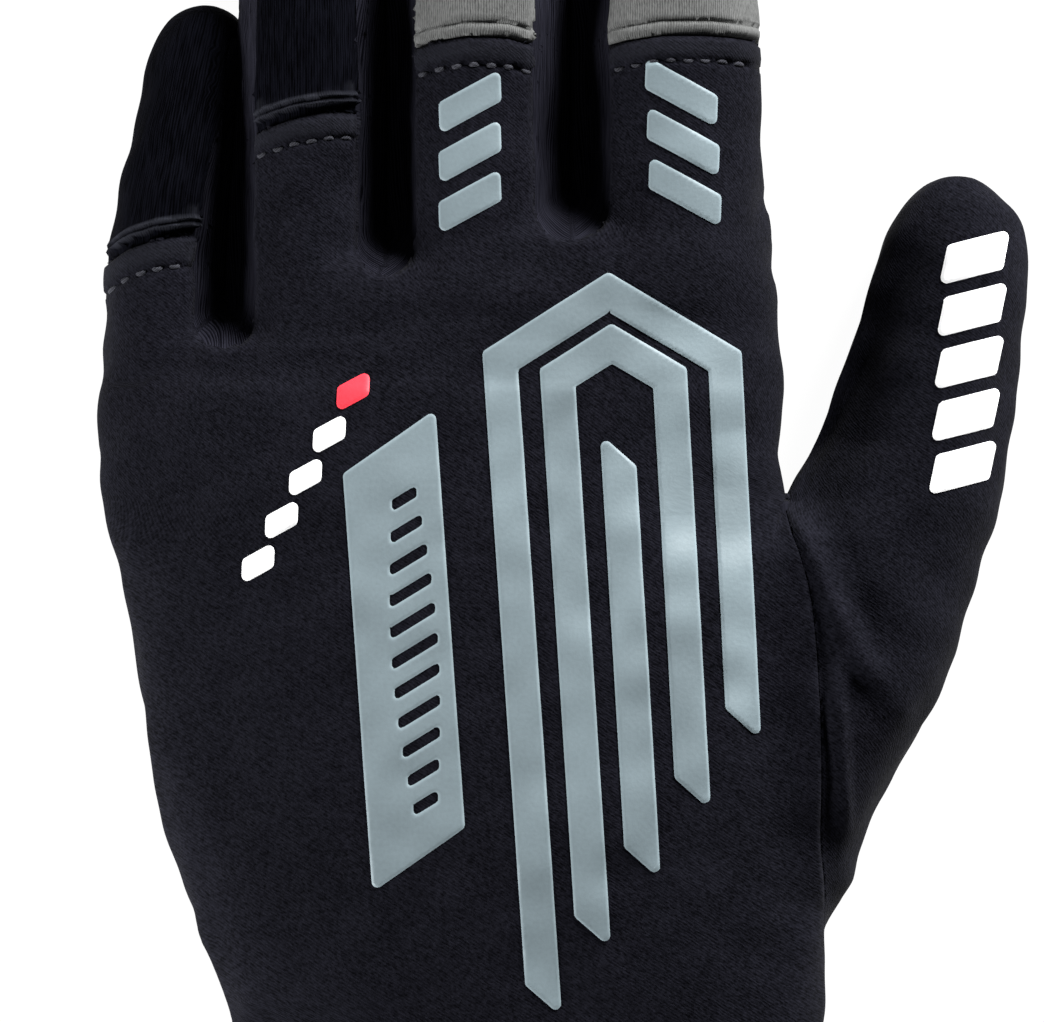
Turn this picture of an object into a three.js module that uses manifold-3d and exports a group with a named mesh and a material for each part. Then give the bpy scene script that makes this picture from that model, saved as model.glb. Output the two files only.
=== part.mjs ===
// A left-hand karting glove, lying palm down with the fingers towards +Y and the thumb towards +X.
// It is a hollow shell of sewn panels: a knit back, four finger backs, three side strips between the
// fingers, a palm that also lines the underside of the fingers, a two-panel thumb and an elastic cuff.
// Heat-pressed films decorate the back and the thumb. Millimetres, +Z up, floor at Z = 0.
import * as THREE from 'three';
import { mergeVertices } from 'three/addons/utils/BufferGeometryUtils.js';
import Module from 'manifold-3d';

const wasm = await Module();
wasm.setup();

// Driving dimensions
const fabricWall = 1.8;
const seamGap = 0.3;
const sideSeamHeight = 9;
const palmLength = 117.4;
const palmThickness = 33;
const fingerGap = 3.0;
const webDepth = 7;
const gussetInset = 4.0;
const restFlattening = 1.8;
const littleWidth = 15.6;
const ringWidth = 20.9;
const middleWidth = 24.2;
const indexWidth = 25.8;
const littleLength = 50;
const ringLength = 81;
const middleLength = 81.5;
const indexLength = 68;
const littleThickness = 17.5;
const ringThickness = 20.5;
const middleThickness = 22;
const indexThickness = 22;
const thumbLength = 48;
const thumbWidth = 25;
const thumbThickness = 22;
const cuffLength = 52;
const hemLength = 9;
const hemProud = 0.8;
const filmThickness = 0.4;
const filmGap = 0.3;
const stripeWidth = 5;
const shieldWidth = 14;
const tickWidth = 3.2;
const tickLength = 5.4;
const blockHeight = 5.4;
const blockLength = 9.5;
const barWidth = 4.2;

// Facet counts round a finger, the thumb and the hand
const fingerSides = 14;
const thumbSides = 14;
const handSides = 24;

// Crotches between neighbouring fingers, as shares of the palm's length from the cuff seam
const littleRingCrotch = 0.867;
const ringMiddleCrotch = 0.958;
const middleIndexCrotch = 1.0;
const thumbCrotch = 0.678;

const fingers = [
  { name: 'little', width: littleWidth, length: littleLength, thickness: littleThickness,
    root: littleRingCrotch, seam: 0.985, lean: 0.1 },
  { name: 'ring', width: ringWidth, length: ringLength, thickness: ringThickness,
    root: littleRingCrotch, seam: 1.135, lean: 0 },
  { name: 'middle', width: middleWidth, length: middleLength, thickness: middleThickness,
    root: ringMiddleCrotch, seam: 1.245, lean: 0 },
  { name: 'index', width: indexWidth, length: indexLength, thickness: indexThickness,
    root: middleIndexCrotch, seam: 1.24, lean: -0.03 },
];
const palmWidth = fingers.reduce((sum, finger) => sum + finger.width, 0) + fingerGap * (fingers.length - 1);

// Finger sections: along is a share of the finger's length, width of its width, top and lift of its thickness
const fingerTable = [
  { along: -0.24, width: 0.80, top: 0.98, lift: 0.30 },
  { along: -0.06, width: 0.99, top: 1.15, lift: 0.00 },
  { along: 0.10, width: 1.00, top: 1.11, lift: 0.02 },
  { along: 0.28, width: 0.98, top: 1.06, lift: 0.07 },
  { along: 0.45, width: 0.98, top: 1.05, lift: 0.11 },
  { along: 0.61, width: 0.95, top: 0.96, lift: 0.08 },
  { along: 0.76, width: 0.92, top: 0.84, lift: 0.03 },
  { along: 0.88, width: 0.84, top: 0.71, lift: 0.00 },
  { along: 0.95, width: 0.68, top: 0.60, lift: 0.01 },
  { along: 0.988, width: 0.40, top: 0.47, lift: 0.06 },
];
const fingerTip = { along: 1.0, height: 0.28 };

// Hand sections: along is a share of the palm's length from the cuff seam, left and right are shares of
// the palm's width from its middle, and top is a share of the palm's thickness
const handTable = [
  { along: 0.00, left: -0.292, right: 0.596, top: 0.93 },
  { along: 0.10, left: -0.335, right: 0.593, top: 0.95 },
  { along: 0.20, left: -0.385, right: 0.592, top: 0.98 },
  { along: 0.32, left: -0.424, right: 0.592, top: 1.00 },
  { along: 0.45, left: -0.450, right: 0.589, top: 1.00 },
  { along: 0.58, left: -0.474, right: 0.577, top: 0.98 },
  { along: 0.67, left: -0.500, right: 0.545, top: 0.95 },
  { along: 0.76, left: -0.504, right: 0.527, top: 0.90 },
  { along: 0.81, left: -0.501, right: 0.522, top: 0.86 },
];
// A knuckle block goes on from the hand to a further crotch. It starts below the hand's surface, and
// top and lift are shares of the palm's thickness and narrow is a share of the gusset's inset.
const blockTable = [
  { along: 0.69, top: 0.79, lift: 0.10, narrow: 1.00 },
  { along: 0.84, top: 0.82, lift: 0.02, narrow: 0.10 },
];
// Rows down into the web of a crotch, in the same shares. Down is a share of the web's depth past the crotch.
const webTable = [
  { down: -0.60, top: 0.80, lift: 0.00, narrow: 0.12 },
  { down: 0.00, top: 0.75, lift: 0.00, narrow: 0.22 },
  { down: 0.35, top: 0.64, lift: 0.02, narrow: 0.35 },
  { down: 0.70, top: 0.50, lift: 0.06, narrow: 0.50 },
  { down: 1.00, top: 0.34, lift: 0.14, narrow: 0.8 },
];

// Cuff sections: along is a share of the cuff's length from its seam towards the open end
const cuffTable = [
  { along: 0.00, left: -0.292, right: 0.596, top: 0.93 },
  { along: 0.22, left: -0.272, right: 0.575, top: 0.88 },
  { along: 0.45, left: -0.262, right: 0.565, top: 0.86 },
  { along: 0.72, left: -0.268, right: 0.571, top: 0.88 },
  { along: 1.00, left: -0.285, right: 0.590, top: 0.93 },
];

// Thumb sections: along is a share of the thumb's length from its crotch, inner and outer are shares of
// its width from the crotch, and top is a share of its thickness
const thumbTable = [
  { along: -1.34, inner: -0.60, outer: -0.02, top: 0.55, lift: 0.14 },
  { along: -1.22, inner: -0.56, outer: 0.26, top: 0.82, lift: 0.04 },
  { along: -1.08, inner: -0.54, outer: 0.44, top: 1.02, lift: 0.00 },
  { along: -0.86, inner: -0.50, outer: 0.62, top: 1.14, lift: 0.00 },
  { along: -0.54, inner: -0.44, outer: 0.90, top: 1.18, lift: 0.00 },
  { along: -0.19, inner: -0.22, outer: 1.16, top: 1.12, lift: 0.00 },
  { along: 0.00, inner: 0.02, outer: 1.28, top: 1.07, lift: 0.00 },
  { along: 0.22, inner: 0.24, outer: 1.37, top: 1.02, lift: 0.00 },
  { along: 0.43, inner: 0.40, outer: 1.42, top: 0.97, lift: 0.00 },
  { along: 0.61, inner: 0.51, outer: 1.46, top: 0.90, lift: 0.00 },
  { along: 0.77, inner: 0.61, outer: 1.47, top: 0.80, lift: 0.00 },
  { along: 0.89, inner: 0.72, outer: 1.39, top: 0.66, lift: 0.00 },
  { along: 0.965, inner: 0.86, outer: 1.25, top: 0.50, lift: 0.02 },
];
const thumbTip = { along: 1.0, side: 1.07, height: 0.26 };

// A ring of points round one section, which lies in a plane of constant Y. The outline is a superellipse,
// widest below its middle.
const widestShare = 0.44;
const crownPower = 2.3;
const basePower = 2.8;
function sectionRing({ y, left, right, bottom, top }, sides) {
  const middle = (left + right) / 2;
  const half = (right - left) / 2;
  const widest = bottom + (top - bottom) * widestShare;
  const points = [];
  for (let i = 0; i < sides; i++) {
    const angle = (2 * Math.PI * i) / sides;
    const across = Math.cos(angle);
    const up = Math.sin(angle);
    const power = up >= 0 ? crownPower : basePower;
    const rise = up >= 0 ? top - widest : widest - bottom;
    const x = middle + half * Math.sign(across) * Math.abs(across) ** (2 / power);
    const z = widest + rise * Math.sign(up) * Math.abs(up) ** (2 / power);
    points.push([x, y, z]);
  }
  return points;
}

// A closed mesh through the sections, with a point at the far end if one is given
function loft(sections, sides, tip) {
  const rings = sections.map((section) => sectionRing(section, sides));
  const centre = (ring) => [0, 1, 2].map((axis) => ring.reduce((sum, p) => sum + p[axis], 0) / sides);
  const positions = rings.flat(2);
  const indices = [];
  for (let r = 0; r + 1 < rings.length; r++) {
    for (let i = 0; i < sides; i++) {
      const a = r * sides + i;
      const b = r * sides + ((i + 1) % sides);
      indices.push(a, a + sides, b, b, a + sides, b + sides);
    }
  }
  const start = positions.length / 3;
  positions.push(...centre(rings[0]), ...(tip ?? centre(rings.at(-1))));
  const last = (rings.length - 1) * sides;
  for (let i = 0; i < sides; i++) {
    const next = (i + 1) % sides;
    indices.push(start, i, next);
    indices.push(start + 1, last + next, last + i);
  }
  const geometry = new THREE.BufferGeometry();
  geometry.setAttribute('position', new THREE.Float32BufferAttribute(positions, 3));
  geometry.setIndex(indices);
  return solid(geometry);
}

function solid(geometry) {
  geometry.deleteAttribute('normal');
  geometry.deleteAttribute('uv');
  const merged = mergeVertices(geometry);
  const made = new wasm.Manifold(new wasm.Mesh({
    numProp: 3,
    vertProperties: merged.attributes.position.array,
    triVerts: new Uint32Array(merged.index.array),
  }));
  return made;
}

// Places shared by the shell, the seams and the films. Reach is past everything on any side.
const knuckleLeft = -palmWidth / 2;
const fingerLeft = (index) =>
  knuckleLeft + fingers.slice(0, index).reduce((sum, finger) => sum + finger.width + fingerGap, 0);
const fingerMiddle = (index) => fingerLeft(index) + fingers[index].width / 2;
const reach = 4 * (palmLength + palmWidth);

function interpolate(table, key, column, value) {
  if (value <= table[0][key]) return table[0][column];
  for (let i = 1; i < table.length; i++) {
    if (value <= table[i][key]) {
      const share = (value - table[i - 1][key]) / (table[i][key] - table[i - 1][key]);
      return table[i - 1][column] + share * (table[i][column] - table[i - 1][column]);
    }
  }
  return table.at(-1)[column];
}

// Each tube and block is drawn in on all sides by inset. The hollow is the same tables at smaller sizes,
// and the films lie between slightly larger ones. Undersides reach below the floor and are cut flat later.
const underside = (lift, thickness, inset) => inset - restFlattening + lift * thickness;

function fingerTube(index, inset) {
  const finger = fingers[index];
  const length = finger.length - inset;
  const width = finger.width - 2 * inset;
  const thickness = finger.thickness - 2 * inset;
  const rootY = finger.root * palmLength;
  const middleAt = (along) => fingerMiddle(index) + Math.max(along, 0) * finger.lean * finger.length;
  const sections = fingerTable.map((row) => ({
    y: rootY + row.along * length,
    left: middleAt(row.along) - (row.width * width) / 2,
    right: middleAt(row.along) + (row.width * width) / 2,
    bottom: underside(row.lift, finger.thickness, inset),
    top: inset + row.top * thickness,
  }));
  const tip = [middleAt(1), rootY + fingerTip.along * length, inset + fingerTip.height * thickness];
  return loft(sections, fingerSides, tip);
}

const thumbRootX = interpolate(handTable, 'along', 'right', thumbCrotch) * palmWidth;
const thumbRootY = thumbCrotch * palmLength;
function thumbTube(inset) {
  const length = thumbLength - inset;
  const thickness = thumbThickness - 2 * inset;
  const sections = thumbTable.map((row) => {
    const middle = ((row.inner + row.outer) / 2) * thumbWidth;
    const half = ((row.outer - row.inner) / 2) * (thumbWidth - 2 * inset);
    return {
      y: thumbRootY + row.along * length,
      left: thumbRootX + middle - half,
      right: thumbRootX + middle + half,
      bottom: underside(row.lift, thumbThickness, inset),
      top: inset + row.top * thickness,
    };
  });
  const tip = [
    thumbRootX + thumbTip.side * thumbWidth,
    thumbRootY + thumbTip.along * length,
    inset + thumbTip.height * thickness,
  ];
  return loft(sections, thumbSides, tip);
}

const handSection = (row, y, inset) => ({
  y,
  left: row.left * palmWidth + inset,
  right: row.right * palmWidth - inset,
  bottom: underside(row.lift ?? 0, palmThickness, inset),
  top: row.top * palmThickness - inset,
});

function webSections(crotchY, left, right, inset) {
  return webTable.map((row) => ({
    y: crotchY + row.down * webDepth - inset,
    left: left + row.narrow * gussetInset + inset,
    right: right - row.narrow * gussetInset - inset,
    bottom: underside(row.lift, palmThickness, inset),
    top: row.top * palmThickness - inset,
  }));
}

// The hand from the cuff's open end, or past it for the hollow, to the little finger's crotch
const handRight = handTable.at(-1).right * palmWidth;
function handBody(inset) {
  const cuffSection = (row) => handSection(row, -row.along * cuffLength, inset);
  const cuffRows = cuffTable.slice(1).reverse().map(cuffSection);
  if (inset !== 0) cuffRows.unshift({ ...cuffRows[0], y: -cuffLength - palmThickness });
  const palmRows = handTable.map((row) => handSection(row, row.along * palmLength, inset));
  const web = webSections(littleRingCrotch * palmLength, knuckleLeft, handRight, inset);
  return loft([...cuffRows, ...palmRows, ...web], handSides);
}

function knuckleBlock(firstFinger, crotch, inset) {
  const left = fingerLeft(firstFinger);
  const starts = blockTable.map((row) => ({
    y: row.along * palmLength,
    left: left + row.narrow * gussetInset + inset,
    right: handRight - row.narrow * gussetInset - inset,
    bottom: underside(row.lift, palmThickness, inset),
    top: row.top * palmThickness - inset,
  }));
  return loft([...starts, ...webSections(crotch * palmLength, left, handRight, inset)], handSides);
}

// Cutters: a plan outline carried up and down past everything, and slabs across the part
function prism(outline, low = -reach, high = reach) {
  const shape = new THREE.Shape(outline.map(([x, y]) => new THREE.Vector2(x, y)));
  const geometry = new THREE.ExtrudeGeometry(shape, { depth: high - low, bevelEnabled: false, steps: 1 });
  geometry.translate(0, 0, low);
  return solid(geometry);
}
const slab = (lowY, highY) =>
  prism([[-reach, lowY], [reach, lowY], [reach, highY], [-reach, highY]]);
const layer = (low, high) =>
  prism([[-reach, -reach], [reach, -reach], [reach, reach], [-reach, reach]], low, high);

const union = (solids) => solids.reduce((sum, next) => sum.add(next));
const handSolid = (inset) => union([
  handBody(inset),
  knuckleBlock(1, ringMiddleCrotch, inset),
  knuckleBlock(2, middleIndexCrotch, inset),
  ...fingers.map((_, index) => fingerTube(index, inset)),
  thumbTube(inset),
]).intersect(layer(inset, reach));

// Plan outline of a side strip between finger index and the next, a long U from the crotch to the tips
const crotches = [littleRingCrotch, ringMiddleCrotch, middleIndexCrotch];
const bendSteps = 8;
const stripTable = [
  { along: 0.06, inset: 1.0 },
  { along: 0.40, inset: 0.95 },
  { along: 0.70, inset: 0.85 },
  { along: 0.90, inset: 0.95 },
];
function stripOutline(index, grow) {
  const crotchY = crotches[index] * palmLength;
  const sideX = (finger, side, row) => {
    const { width, lean, length } = fingers[finger];
    const half = (interpolate(fingerTable, 'along', 'width', row.along) * width) / 2;
    const drawnIn = gussetInset * row.inset + grow;
    return fingerMiddle(finger) + row.along * lean * length + side * (half - drawnIn);
  };
  const sideY = (finger, row) => fingers[finger].root * palmLength + row.along * fingers[finger].length;
  const leftX = sideX(index, 1, { along: 0, inset: 1 });
  const rightX = sideX(index + 1, -1, { along: 0, inset: 1 });
  const middleX = (leftX + rightX) / 2;
  const radius = (rightX - leftX) / 2;
  const aboveBend = (finger) => stripTable.filter((row) => sideY(finger, row) > crotchY + 1.2 * radius);
  const leftLine = aboveBend(index).map((row) => [sideX(index, 1, row), sideY(index, row)]);
  const rightLine = aboveBend(index + 1).map((row) => [sideX(index + 1, -1, row), sideY(index + 1, row)]);
  leftLine.at(-1)[1] += grow;
  rightLine.at(-1)[1] += grow;
  const gapX = fingerLeft(index + 1) - fingerGap / 2;
  const bend = [];
  for (let i = 0; i <= bendSteps; i++) {
    const angle = Math.PI * (1 + i / bendSteps);
    bend.push([middleX + radius * Math.cos(angle), crotchY + radius * (1 + Math.sin(angle)) - grow]);
  }
  const shortTip = Math.min(leftLine.at(-1)[1], rightLine.at(-1)[1]);
  const overTip = index === 0 ? [[gapX, rightLine.at(-1)[1]], [gapX, shortTip]] : [];
  return [...leftLine.reverse(), ...bend, ...rightLine, ...overTip];
}

// Plan outline of a finger's own back panel, past a seam that arches over the finger
const archSteps = 6;
const archShare = 0.12;
function fingerBackOutline(index, grow) {
  const finger = fingers[index];
  const seamY = finger.seam * palmLength;
  const left = index === 0 ? -reach : fingerLeft(index) - fingerGap / 2;
  const right = index === fingers.length - 1 ? thumbRootX : fingerLeft(index + 1) - fingerGap / 2;
  const archLeft = fingerLeft(index) - fingerGap / 2;
  const arch = [];
  const archRise = finger.width * archShare;
  for (let i = 0; i <= archSteps; i++) {
    const share = i / archSteps;
    arch.push([archLeft + share * (right - archLeft), seamY + archRise * Math.sin(Math.PI * share) - grow]);
  }
  return [[left, arch[0][1]], ...arch, [right, reach], [left, reach]];
}

// Plan outline of the thumb's panels: everything outside a seam down the side of the hand. Along is a
// share of the thumb's length from its crotch and side a share of its width.
const thumbSeamTable = [
  { along: 1.35, side: 0.06 },
  { along: 0.10, side: 0.06 },
  { along: 0.00, side: 0.00 },
  { along: -0.19, side: 0.10 },
  { along: -0.58, side: 0.15 },
  { along: -1.05, side: 0.16 },
  { along: -1.25, side: 0.20 },
  { along: -1.36, side: 0.60 },
];
function thumbOutline(grow) {
  const seam = thumbSeamTable.map((row) => [
    thumbRootX + row.side * thumbWidth - grow,
    thumbRootY + row.along * thumbLength,
  ]);
  seam.at(-1)[1] -= grow;
  return [...seam, [reach, seam.at(-1)[1]], [reach, seam[0][1]]];
}

// Outline of a band of even width along a centre line. The ends are square, or slanted by a share of the
// width.
function bandOutline(line, width, slant = 0) {
  const points = line.map(([x, y]) => new THREE.Vector2(x, y));
  const steps = points.slice(1).map((point, i) => point.clone().sub(points[i]).normalize());
  const turned = ({ x, y }) => new THREE.Vector2(-y, x);
  const edge = (side) => points.map((point, i) => {
    const out = steps[i] ?? steps[i - 1];
    const mitre = turned(out.clone().add(steps[i - 1] ?? out).normalize());
    const offset = mitre.multiplyScalar((side * width) / 2 / mitre.dot(turned(out)));
    const isEnd = i === 0 || i === points.length - 1;
    const skew = isEnd ? out.clone().multiplyScalar((side * slant * width) / 2) : new THREE.Vector2();
    return point.clone().add(offset).add(skew).toArray();
  });
  return [...edge(1), ...edge(-1).reverse()];
}

// Five stripes run down the back towards the cuff, drawing together a little. Each stops short of the
// one before it. Sides are shares of the palm's width and alongs of its length.
const middleStripe = 2;
const stripes = { first: 0.105, pitch: 0.0855, shoulder: 0.85, rise: 0.085, end: 0.06, endStep: 0.085 };
const stripeFoot = { first: 0.176, pitch: 0.0805 };
const barTop = 0.74;
function stripePoint(number, along) {
  const share = (stripes.shoulder - along) / stripes.shoulder;
  const top = stripes.first + number * stripes.pitch;
  const foot = stripeFoot.first + number * stripeFoot.pitch;
  return [(top + share * (foot - top)) * palmWidth, along * palmLength];
}
const stripeEnd = (number) => stripePoint(number, stripes.end + number * stripes.endStep);
const archLine = (reachOut) => {
  const left = middleStripe - reachOut;
  const right = middleStripe + reachOut;
  const rise = (stripes.rise * reachOut) / middleStripe;
  const shoulder = stripes.shoulder - (stripes.rise - rise) / middleStripe;
  const peak = stripePoint(middleStripe, shoulder + rise);
  return [stripeEnd(left), stripePoint(left, shoulder), peak, stripePoint(right, shoulder), stripeEnd(right)];
};

// Short prints in rows: each row starts at a place on the palm or thumb, and steps on from it
const palmPlace = ([side, along]) => [side * palmWidth, along * palmLength];
const thumbPlace = ([side, along]) => [thumbRootX + side * thumbWidth, thumbRootY + along * thumbLength];
const fingerPlace = (index) => ([side, along]) =>
  [fingerMiddle(index) + side * fingers[index].width, (fingers[index].root + along) * palmLength];
function printRow({ name, count, place, start, step, length, width, turn, slant, material }) {
  return Array.from({ length: count }, (_, i) => {
    const [x, y] = place([start[0] + i * step[0], start[1] + i * step[1]]);
    const halfX = (Math.cos(turn) * length) / 2;
    const halfY = (Math.sin(turn) * length) / 2;
    const outline = bandOutline([[x - halfX, y - halfY], [x + halfX, y + halfY]], width, slant);
    return { name: `${name}_${i + 1}`, outline, material: i === count - 1 ? material.last : material.first };
  });
}
const grey = { first: 'greyPrint', last: 'greyPrint' };
const white = { first: 'whitePrint', last: 'whitePrint' };
const whiteThenRed = { first: 'whitePrint', last: 'redPrint' };
const barLine = [stripeEnd(middleStripe), stripePoint(middleStripe, barTop)];
const shieldLine = [[-0.018, 0.235], [-0.063, 0.75]].map(palmPlace);
const prints = [
  { name: 'outer_arch_print', outline: bandOutline(archLine(2), stripeWidth, 1), material: 'greyPrint' },
  { name: 'inner_arch_print', outline: bandOutline(archLine(1), stripeWidth, 1), material: 'greyPrint' },
  { name: 'bar_print', outline: bandOutline(barLine, stripeWidth, 1), material: 'greyPrint' },
  { name: 'shield_print', outline: bandOutline(shieldLine, shieldWidth, -0.6), material: 'greyPrint' },
  ...printRow({ name: 'tick_print', count: 5, place: palmPlace, start: [-0.262, 0.60], step: [0.036, 0.053],
    length: tickLength, width: tickWidth, turn: 0.5, slant: 0.6, material: whiteThenRed }),
  ...printRow({ name: 'thumb_print', count: 5, place: thumbPlace, start: [1.06, 0.10], step: [0.02, 0.16],
    length: blockLength, width: blockHeight, turn: 0.25, slant: 0.5, material: white }),
  ...printRow({ name: 'middle_finger_print', count: 3, place: fingerPlace(2), start: [-0.05, 0.09],
    step: [0, 0.062], length: middleWidth * 0.42, width: barWidth, turn: 0.5, slant: 0.5, material: grey }),
  ...printRow({ name: 'index_finger_print', count: 3, place: fingerPlace(3), start: [0.08, 0.06],
    step: [-0.01, 0.062], length: indexWidth * 0.46, width: barWidth, turn: -0.5, slant: -0.5,
    material: grey }),
];

// Panels cut from one hollow shell, each clear of its neighbour by the seam gap
const hollow = handSolid(fabricWall);
const shell = handSolid(0).subtract(hollow);
const hemSeamY = hemLength - cuffLength;
const cuffSolid = shell.intersect(slab(hemSeamY + seamGap, 0));
const hemSolid = handSolid(-hemProud)
  .intersect(layer(0, reach))
  .intersect(slab(-cuffLength, hemSeamY))
  .subtract(hollow);
const aboveCuff = shell.intersect(slab(seamGap, reach));
const thumbShell = aboveCuff.intersect(prism(thumbOutline(0)));
const handShell = aboveCuff.subtract(prism(thumbOutline(seamGap)));
const lower = layer(-reach, sideSeamHeight);
const upper = layer(sideSeamHeight + seamGap, reach);

let back = handShell.intersect(upper);
const panels = [];
for (let index = 0; index + 1 < fingers.length; index++) {
  const name = `${fingers[index].name}_${fingers[index + 1].name}_gusset`;
  panels.push({ name, solid: back.intersect(prism(stripOutline(index, 0))), material: 'knit' });
  back = back.subtract(prism(stripOutline(index, seamGap)));
}
fingers.forEach((finger, index) => {
  const material = index >= 2 ? 'greyStretch' : 'rib';
  panels.push({
    name: `${finger.name}_finger_back`,
    solid: back.intersect(prism(fingerBackOutline(index, 0))),
    material,
  });
  back = back.subtract(prism(fingerBackOutline(index, seamGap)));
});
panels.push({ name: 'back_panel', solid: back, material: 'knit' });
panels.push({ name: 'palm_panel', solid: handShell.intersect(lower), material: 'suede' });
panels.push({ name: 'thumb_back', solid: thumbShell.intersect(upper), material: 'knit' });
panels.push({ name: 'thumb_palm', solid: thumbShell.intersect(lower), material: 'suede' });
panels.push({ name: 'cuff', solid: cuffSolid, material: 'rib' });
panels.push({ name: 'cuff_hem', solid: hemSolid, material: 'knit' });

// Films lie just off the shell, as thin skins cut to their outlines
const filmSkin = handSolid(-filmGap - filmThickness).subtract(handSolid(-filmGap)).intersect(upper);
prints.forEach(({ name, outline, material }) => {
  panels.push({ name, solid: filmSkin.intersect(prism(outline)), material });
});

const materials = {
  knit: new THREE.MeshStandardMaterial({ color: 0x17181f, roughness: 0.95, metalness: 0 }),
  rib: new THREE.MeshStandardMaterial({ color: 0x131419, roughness: 0.95, metalness: 0 }),
  suede: new THREE.MeshStandardMaterial({ color: 0x1b1b1e, roughness: 0.9, metalness: 0 }),
  greyStretch: new THREE.MeshStandardMaterial({ color: 0x77777a, roughness: 0.85, metalness: 0 }),
  greyPrint: new THREE.MeshStandardMaterial({ color: 0x83939a, roughness: 0.6, metalness: 0 }),
  whitePrint: new THREE.MeshStandardMaterial({ color: 0xf4f4f4, roughness: 0.6, metalness: 0 }),
  redPrint: new THREE.MeshStandardMaterial({ color: 0xe83b4a, roughness: 0.6, metalness: 0 }),
};

function meshOf({ name, solid: body, material }) {
  const { vertProperties, triVerts } = body.getMesh();
  const geometry = new THREE.BufferGeometry();
  geometry.setAttribute('position', new THREE.Float32BufferAttribute(vertProperties, 3));
  geometry.setIndex(new THREE.Uint32BufferAttribute(triVerts, 1));
  geometry.computeVertexNormals();
  const mesh = new THREE.Mesh(geometry, materials[material]);
  mesh.name = name;
  return mesh;
}

const assembly = new THREE.Group();
panels.forEach((panel) => assembly.add(meshOf(panel)));
const box = new THREE.Box3().setFromObject(assembly);
const middle = box.getCenter(new THREE.Vector3());
assembly.position.set(-middle.x, -middle.y, -box.min.z);

const glove = new THREE.Group();
glove.add(assembly);
export default glove;
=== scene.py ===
"""A left-hand karting glove, palm down: its panels, seams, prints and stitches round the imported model."""
import math

import bpy
import numpy as np
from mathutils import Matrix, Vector
from mathutils.bvhtree import BVHTree


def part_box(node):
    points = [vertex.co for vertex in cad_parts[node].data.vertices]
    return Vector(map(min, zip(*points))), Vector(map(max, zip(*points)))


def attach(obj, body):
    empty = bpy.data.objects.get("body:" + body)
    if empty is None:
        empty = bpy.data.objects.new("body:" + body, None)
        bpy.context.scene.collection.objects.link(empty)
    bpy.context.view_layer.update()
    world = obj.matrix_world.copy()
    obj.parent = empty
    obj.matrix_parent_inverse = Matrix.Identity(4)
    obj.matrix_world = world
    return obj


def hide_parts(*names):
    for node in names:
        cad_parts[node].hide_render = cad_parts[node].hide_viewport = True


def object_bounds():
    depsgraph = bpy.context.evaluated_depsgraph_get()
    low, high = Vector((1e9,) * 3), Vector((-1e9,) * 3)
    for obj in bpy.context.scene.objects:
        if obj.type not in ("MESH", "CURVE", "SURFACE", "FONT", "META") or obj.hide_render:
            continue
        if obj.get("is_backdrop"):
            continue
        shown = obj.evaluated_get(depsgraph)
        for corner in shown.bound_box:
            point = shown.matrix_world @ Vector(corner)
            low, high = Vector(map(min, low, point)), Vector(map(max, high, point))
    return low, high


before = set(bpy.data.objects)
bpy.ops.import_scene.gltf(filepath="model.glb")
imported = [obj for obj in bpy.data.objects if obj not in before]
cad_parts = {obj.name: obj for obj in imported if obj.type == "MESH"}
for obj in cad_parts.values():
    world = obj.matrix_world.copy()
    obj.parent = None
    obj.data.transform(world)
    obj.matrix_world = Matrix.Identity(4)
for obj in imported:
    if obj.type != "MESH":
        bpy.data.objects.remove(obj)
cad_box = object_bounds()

# Sizes in millimetres. The lengths are those of the model that the frame comes from
FABRIC = 1.5
SIDE_SEAM_Z = 9.0
SEAM_UNDER_WIDEST = 0.93
PALM_LENGTH = 117.4
PALM_THICKNESS = 33.0
FINGER_GAP = 3.0
WEB_DEPTH = 7.0
GUSSET_INSET = 4.0
STRIP_INSETS = (2.9, 2.5, 3.9)
REST_FLATTENING = 1.8
CUFF_LENGTH = 52.0
HEM_LENGTH = 9.0
THUMB_LENGTH = 48.0
THUMB_WIDTH = 25.0
THUMB_THICKNESS = 22.0
THUMB_CROTCH = 0.678
LITTLE, RING, MIDDLE, INDEX = range(4)
FINGER_NAMES = ("little", "ring", "middle", "index")
# The pitch of the grid that the surface is found on
GRID_STEP = 0.85


def rows(columns, *values):
    """A table as one array for each named column."""
    return dict(zip(columns.split(), np.array(values, float).T))


def looked_up(table, at, *columns):
    """Columns of a table, between its rows, at places along its first column."""
    first = next(iter(table.values()))
    found = [np.interp(at, first, table[column]) for column in columns]
    return found if len(found) > 1 else found[0]


def fading(distance, reach):
    """From 0 up to 1 over the reach."""
    return np.clip(distance / reach, 0, 1)


FINGERS = rows(
    "width length thickness root seam lean",
    (15.6, 50.9, 17.5, 0.867, 0.985, 0.00),
    (20.9, 81.0, 20.5, 0.867, 1.135, 0.00),
    (24.2, 81.5, 22.0, 0.958, 1.230, 0.00),
    (25.8, 68.0, 22.0, 1.000, 1.231, -0.01),
)
CROTCHES = (0.867, 0.958, 1.0)
PALM_WIDTH = FINGERS["width"].sum() + 3 * FINGER_GAP

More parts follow.
